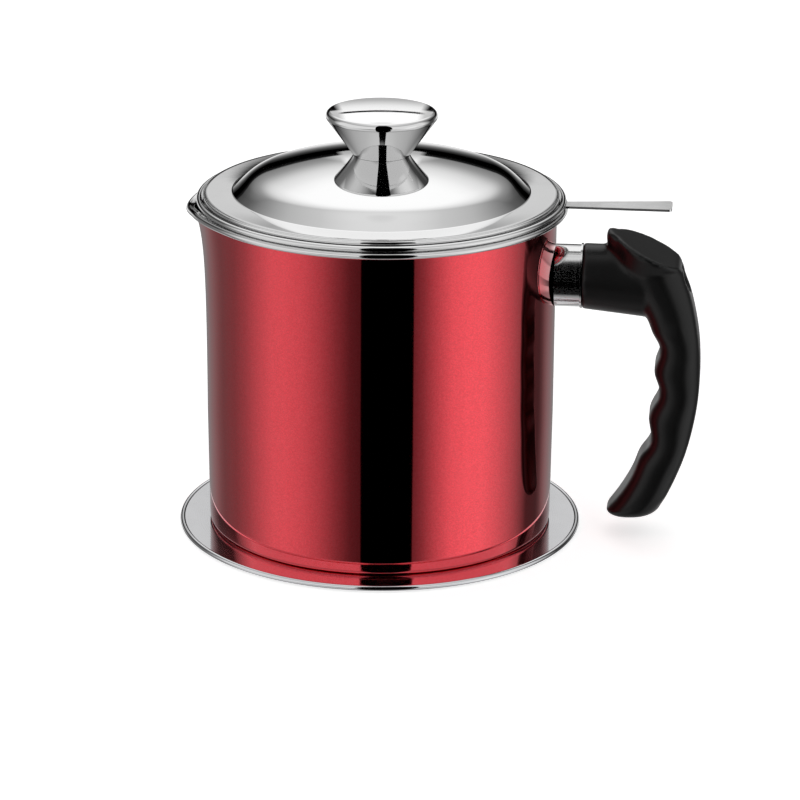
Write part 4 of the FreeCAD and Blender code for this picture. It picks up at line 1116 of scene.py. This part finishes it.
    # the camera alone sees white
    seen = add_node(tree, "LightPath").outputs["Is Camera Ray"]
    white = {"Color2": grey(1.0)}
    shown = add_node(tree, "MixRGB", {"Fac": seen, "Color1": lit}, inputs=white)
    tree.links.new(shown.outputs["Color"], tree.nodes["Background"].inputs["Color"])
    return world


bpy.context.scene.world = studio_world()
print("studio has", len(STUDIO_BANDS), "band edges")

# %% [markdown]
# ## A small card behind the knob
#
# The knob's cap is a shallow dome that looks past the big panel, so a small white card
# stands behind it, with one black line across. It is near the pot and high up, so that
# little but the cap mirrors it, and it shows in mirrors alone: it neither lights nor
# shades the pot. Its brightness changes with the height, and its sides fade out, so
# that they draw no line beside the knob.

# %% Reflector card
CARD_DISTANCE = 100.0
CARD_HALF_WIDTH = 22.0
CARD_SOLID_SHARE = 0.85
CARD_FOOT, CARD_HEAD = 150.0, 206.0
CARD_LEVELS = [
    # height in millimetres, and brightness
    (CARD_FOOT, 0.45),
    (156.0, 0.50),
    (163.0, 0.72),
    (170.0, 0.95),
    (176.0, 1.05),
    (180.4, 1.08),
    (180.6, 0.0),
    (184.0, 0.0),
    (184.2, 1.2),
    (CARD_HEAD, 1.2),
]
away = Vector((-CAMERA_PLACE.x, -CAMERA_PLACE.y, 0)).normalized()
across = Vector((-away.y, away.x, 0))
corners = [(-1, CARD_FOOT), (1, CARD_FOOT), (1, CARD_HEAD), (-1, CARD_HEAD)]
middle, half = away * CARD_DISTANCE, across * CARD_HALF_WIDTH
card_points = [
    tuple((middle + side * half) * MM + Vector((0, 0, z * MM))) for side, z in corners
]
card_mesh = bpy.data.meshes.new("card")
card_mesh.from_pydata(card_points, [], [(0, 1, 2, 3)])
card = bpy.data.objects.new("card", card_mesh)
bpy.context.scene.collection.objects.link(card)
card_finish, card_tree, card_shader = new_finish("white_card", Roughness=1.0)
card_place = add_node(card_tree, "TexCoord").outputs["Object"]
card_z = add_node(card_tree, "SeparateXYZ", {"Vector": card_place}).outputs["Z"]
card_span = {"From Min": CARD_FOOT * MM, "From Max": CARD_HEAD * MM}
card_share = add_node(card_tree, "MapRange", {"Value": card_z}, inputs=card_span)
card_rise = CARD_HEAD - CARD_FOOT
card_stops = [((z - CARD_FOOT) / card_rise, grey(bright)) for z, bright in CARD_LEVELS]
card_glow = add_node(card_tree, "ValToRGB", {"Fac": card_share}, stops=card_stops)
card_tree.links.new(card_glow.outputs["Color"], card_shader.inputs["Emission Color"])
card_shader.inputs["Emission Strength"].default_value = 1.0
card_shader.inputs["Base Color"].default_value = linear("#000000")
clear = add_node(card_tree, "BsdfTransparent")
sideways = {1: tuple(across)}
off_axis = add_node(
    card_tree, "VectorMath", {0: card_place}, operation="DOT_PRODUCT", inputs=sideways
)
side_way = add_node(card_tree, "Math", {0: off_axis.outputs["Value"]}, operation="ABSOLUTE")
card_half = CARD_HALF_WIDTH * MM
side_fade = {"From Min": CARD_SOLID_SHARE * card_half, "From Max": card_half}
side_clear = add_node(card_tree, "MapRange", {"Value": side_way}, inputs=side_fade)
card_mix = add_node(card_tree, "MixShader", {0: side_clear, 1: card_shader, 2: clear})
card_output = card_tree.nodes["Material Output"]
card_tree.links.new(card_mix.outputs["Shader"], card_output.inputs["Surface"])
card_mesh.materials.append(card_finish)
card.visible_camera = card.visible_diffuse = False
card.visible_shadow = card.visible_transmission = False
print("card is", 2 * CARD_HALF_WIDTH, "mm wide and", card_rise, "mm high")

# %% [markdown]
# ## View settings
#
# The picture is shown as rendered, with no extra contrast.

# %% View settings
bpy.context.scene.view_settings.view_transform = "Standard"
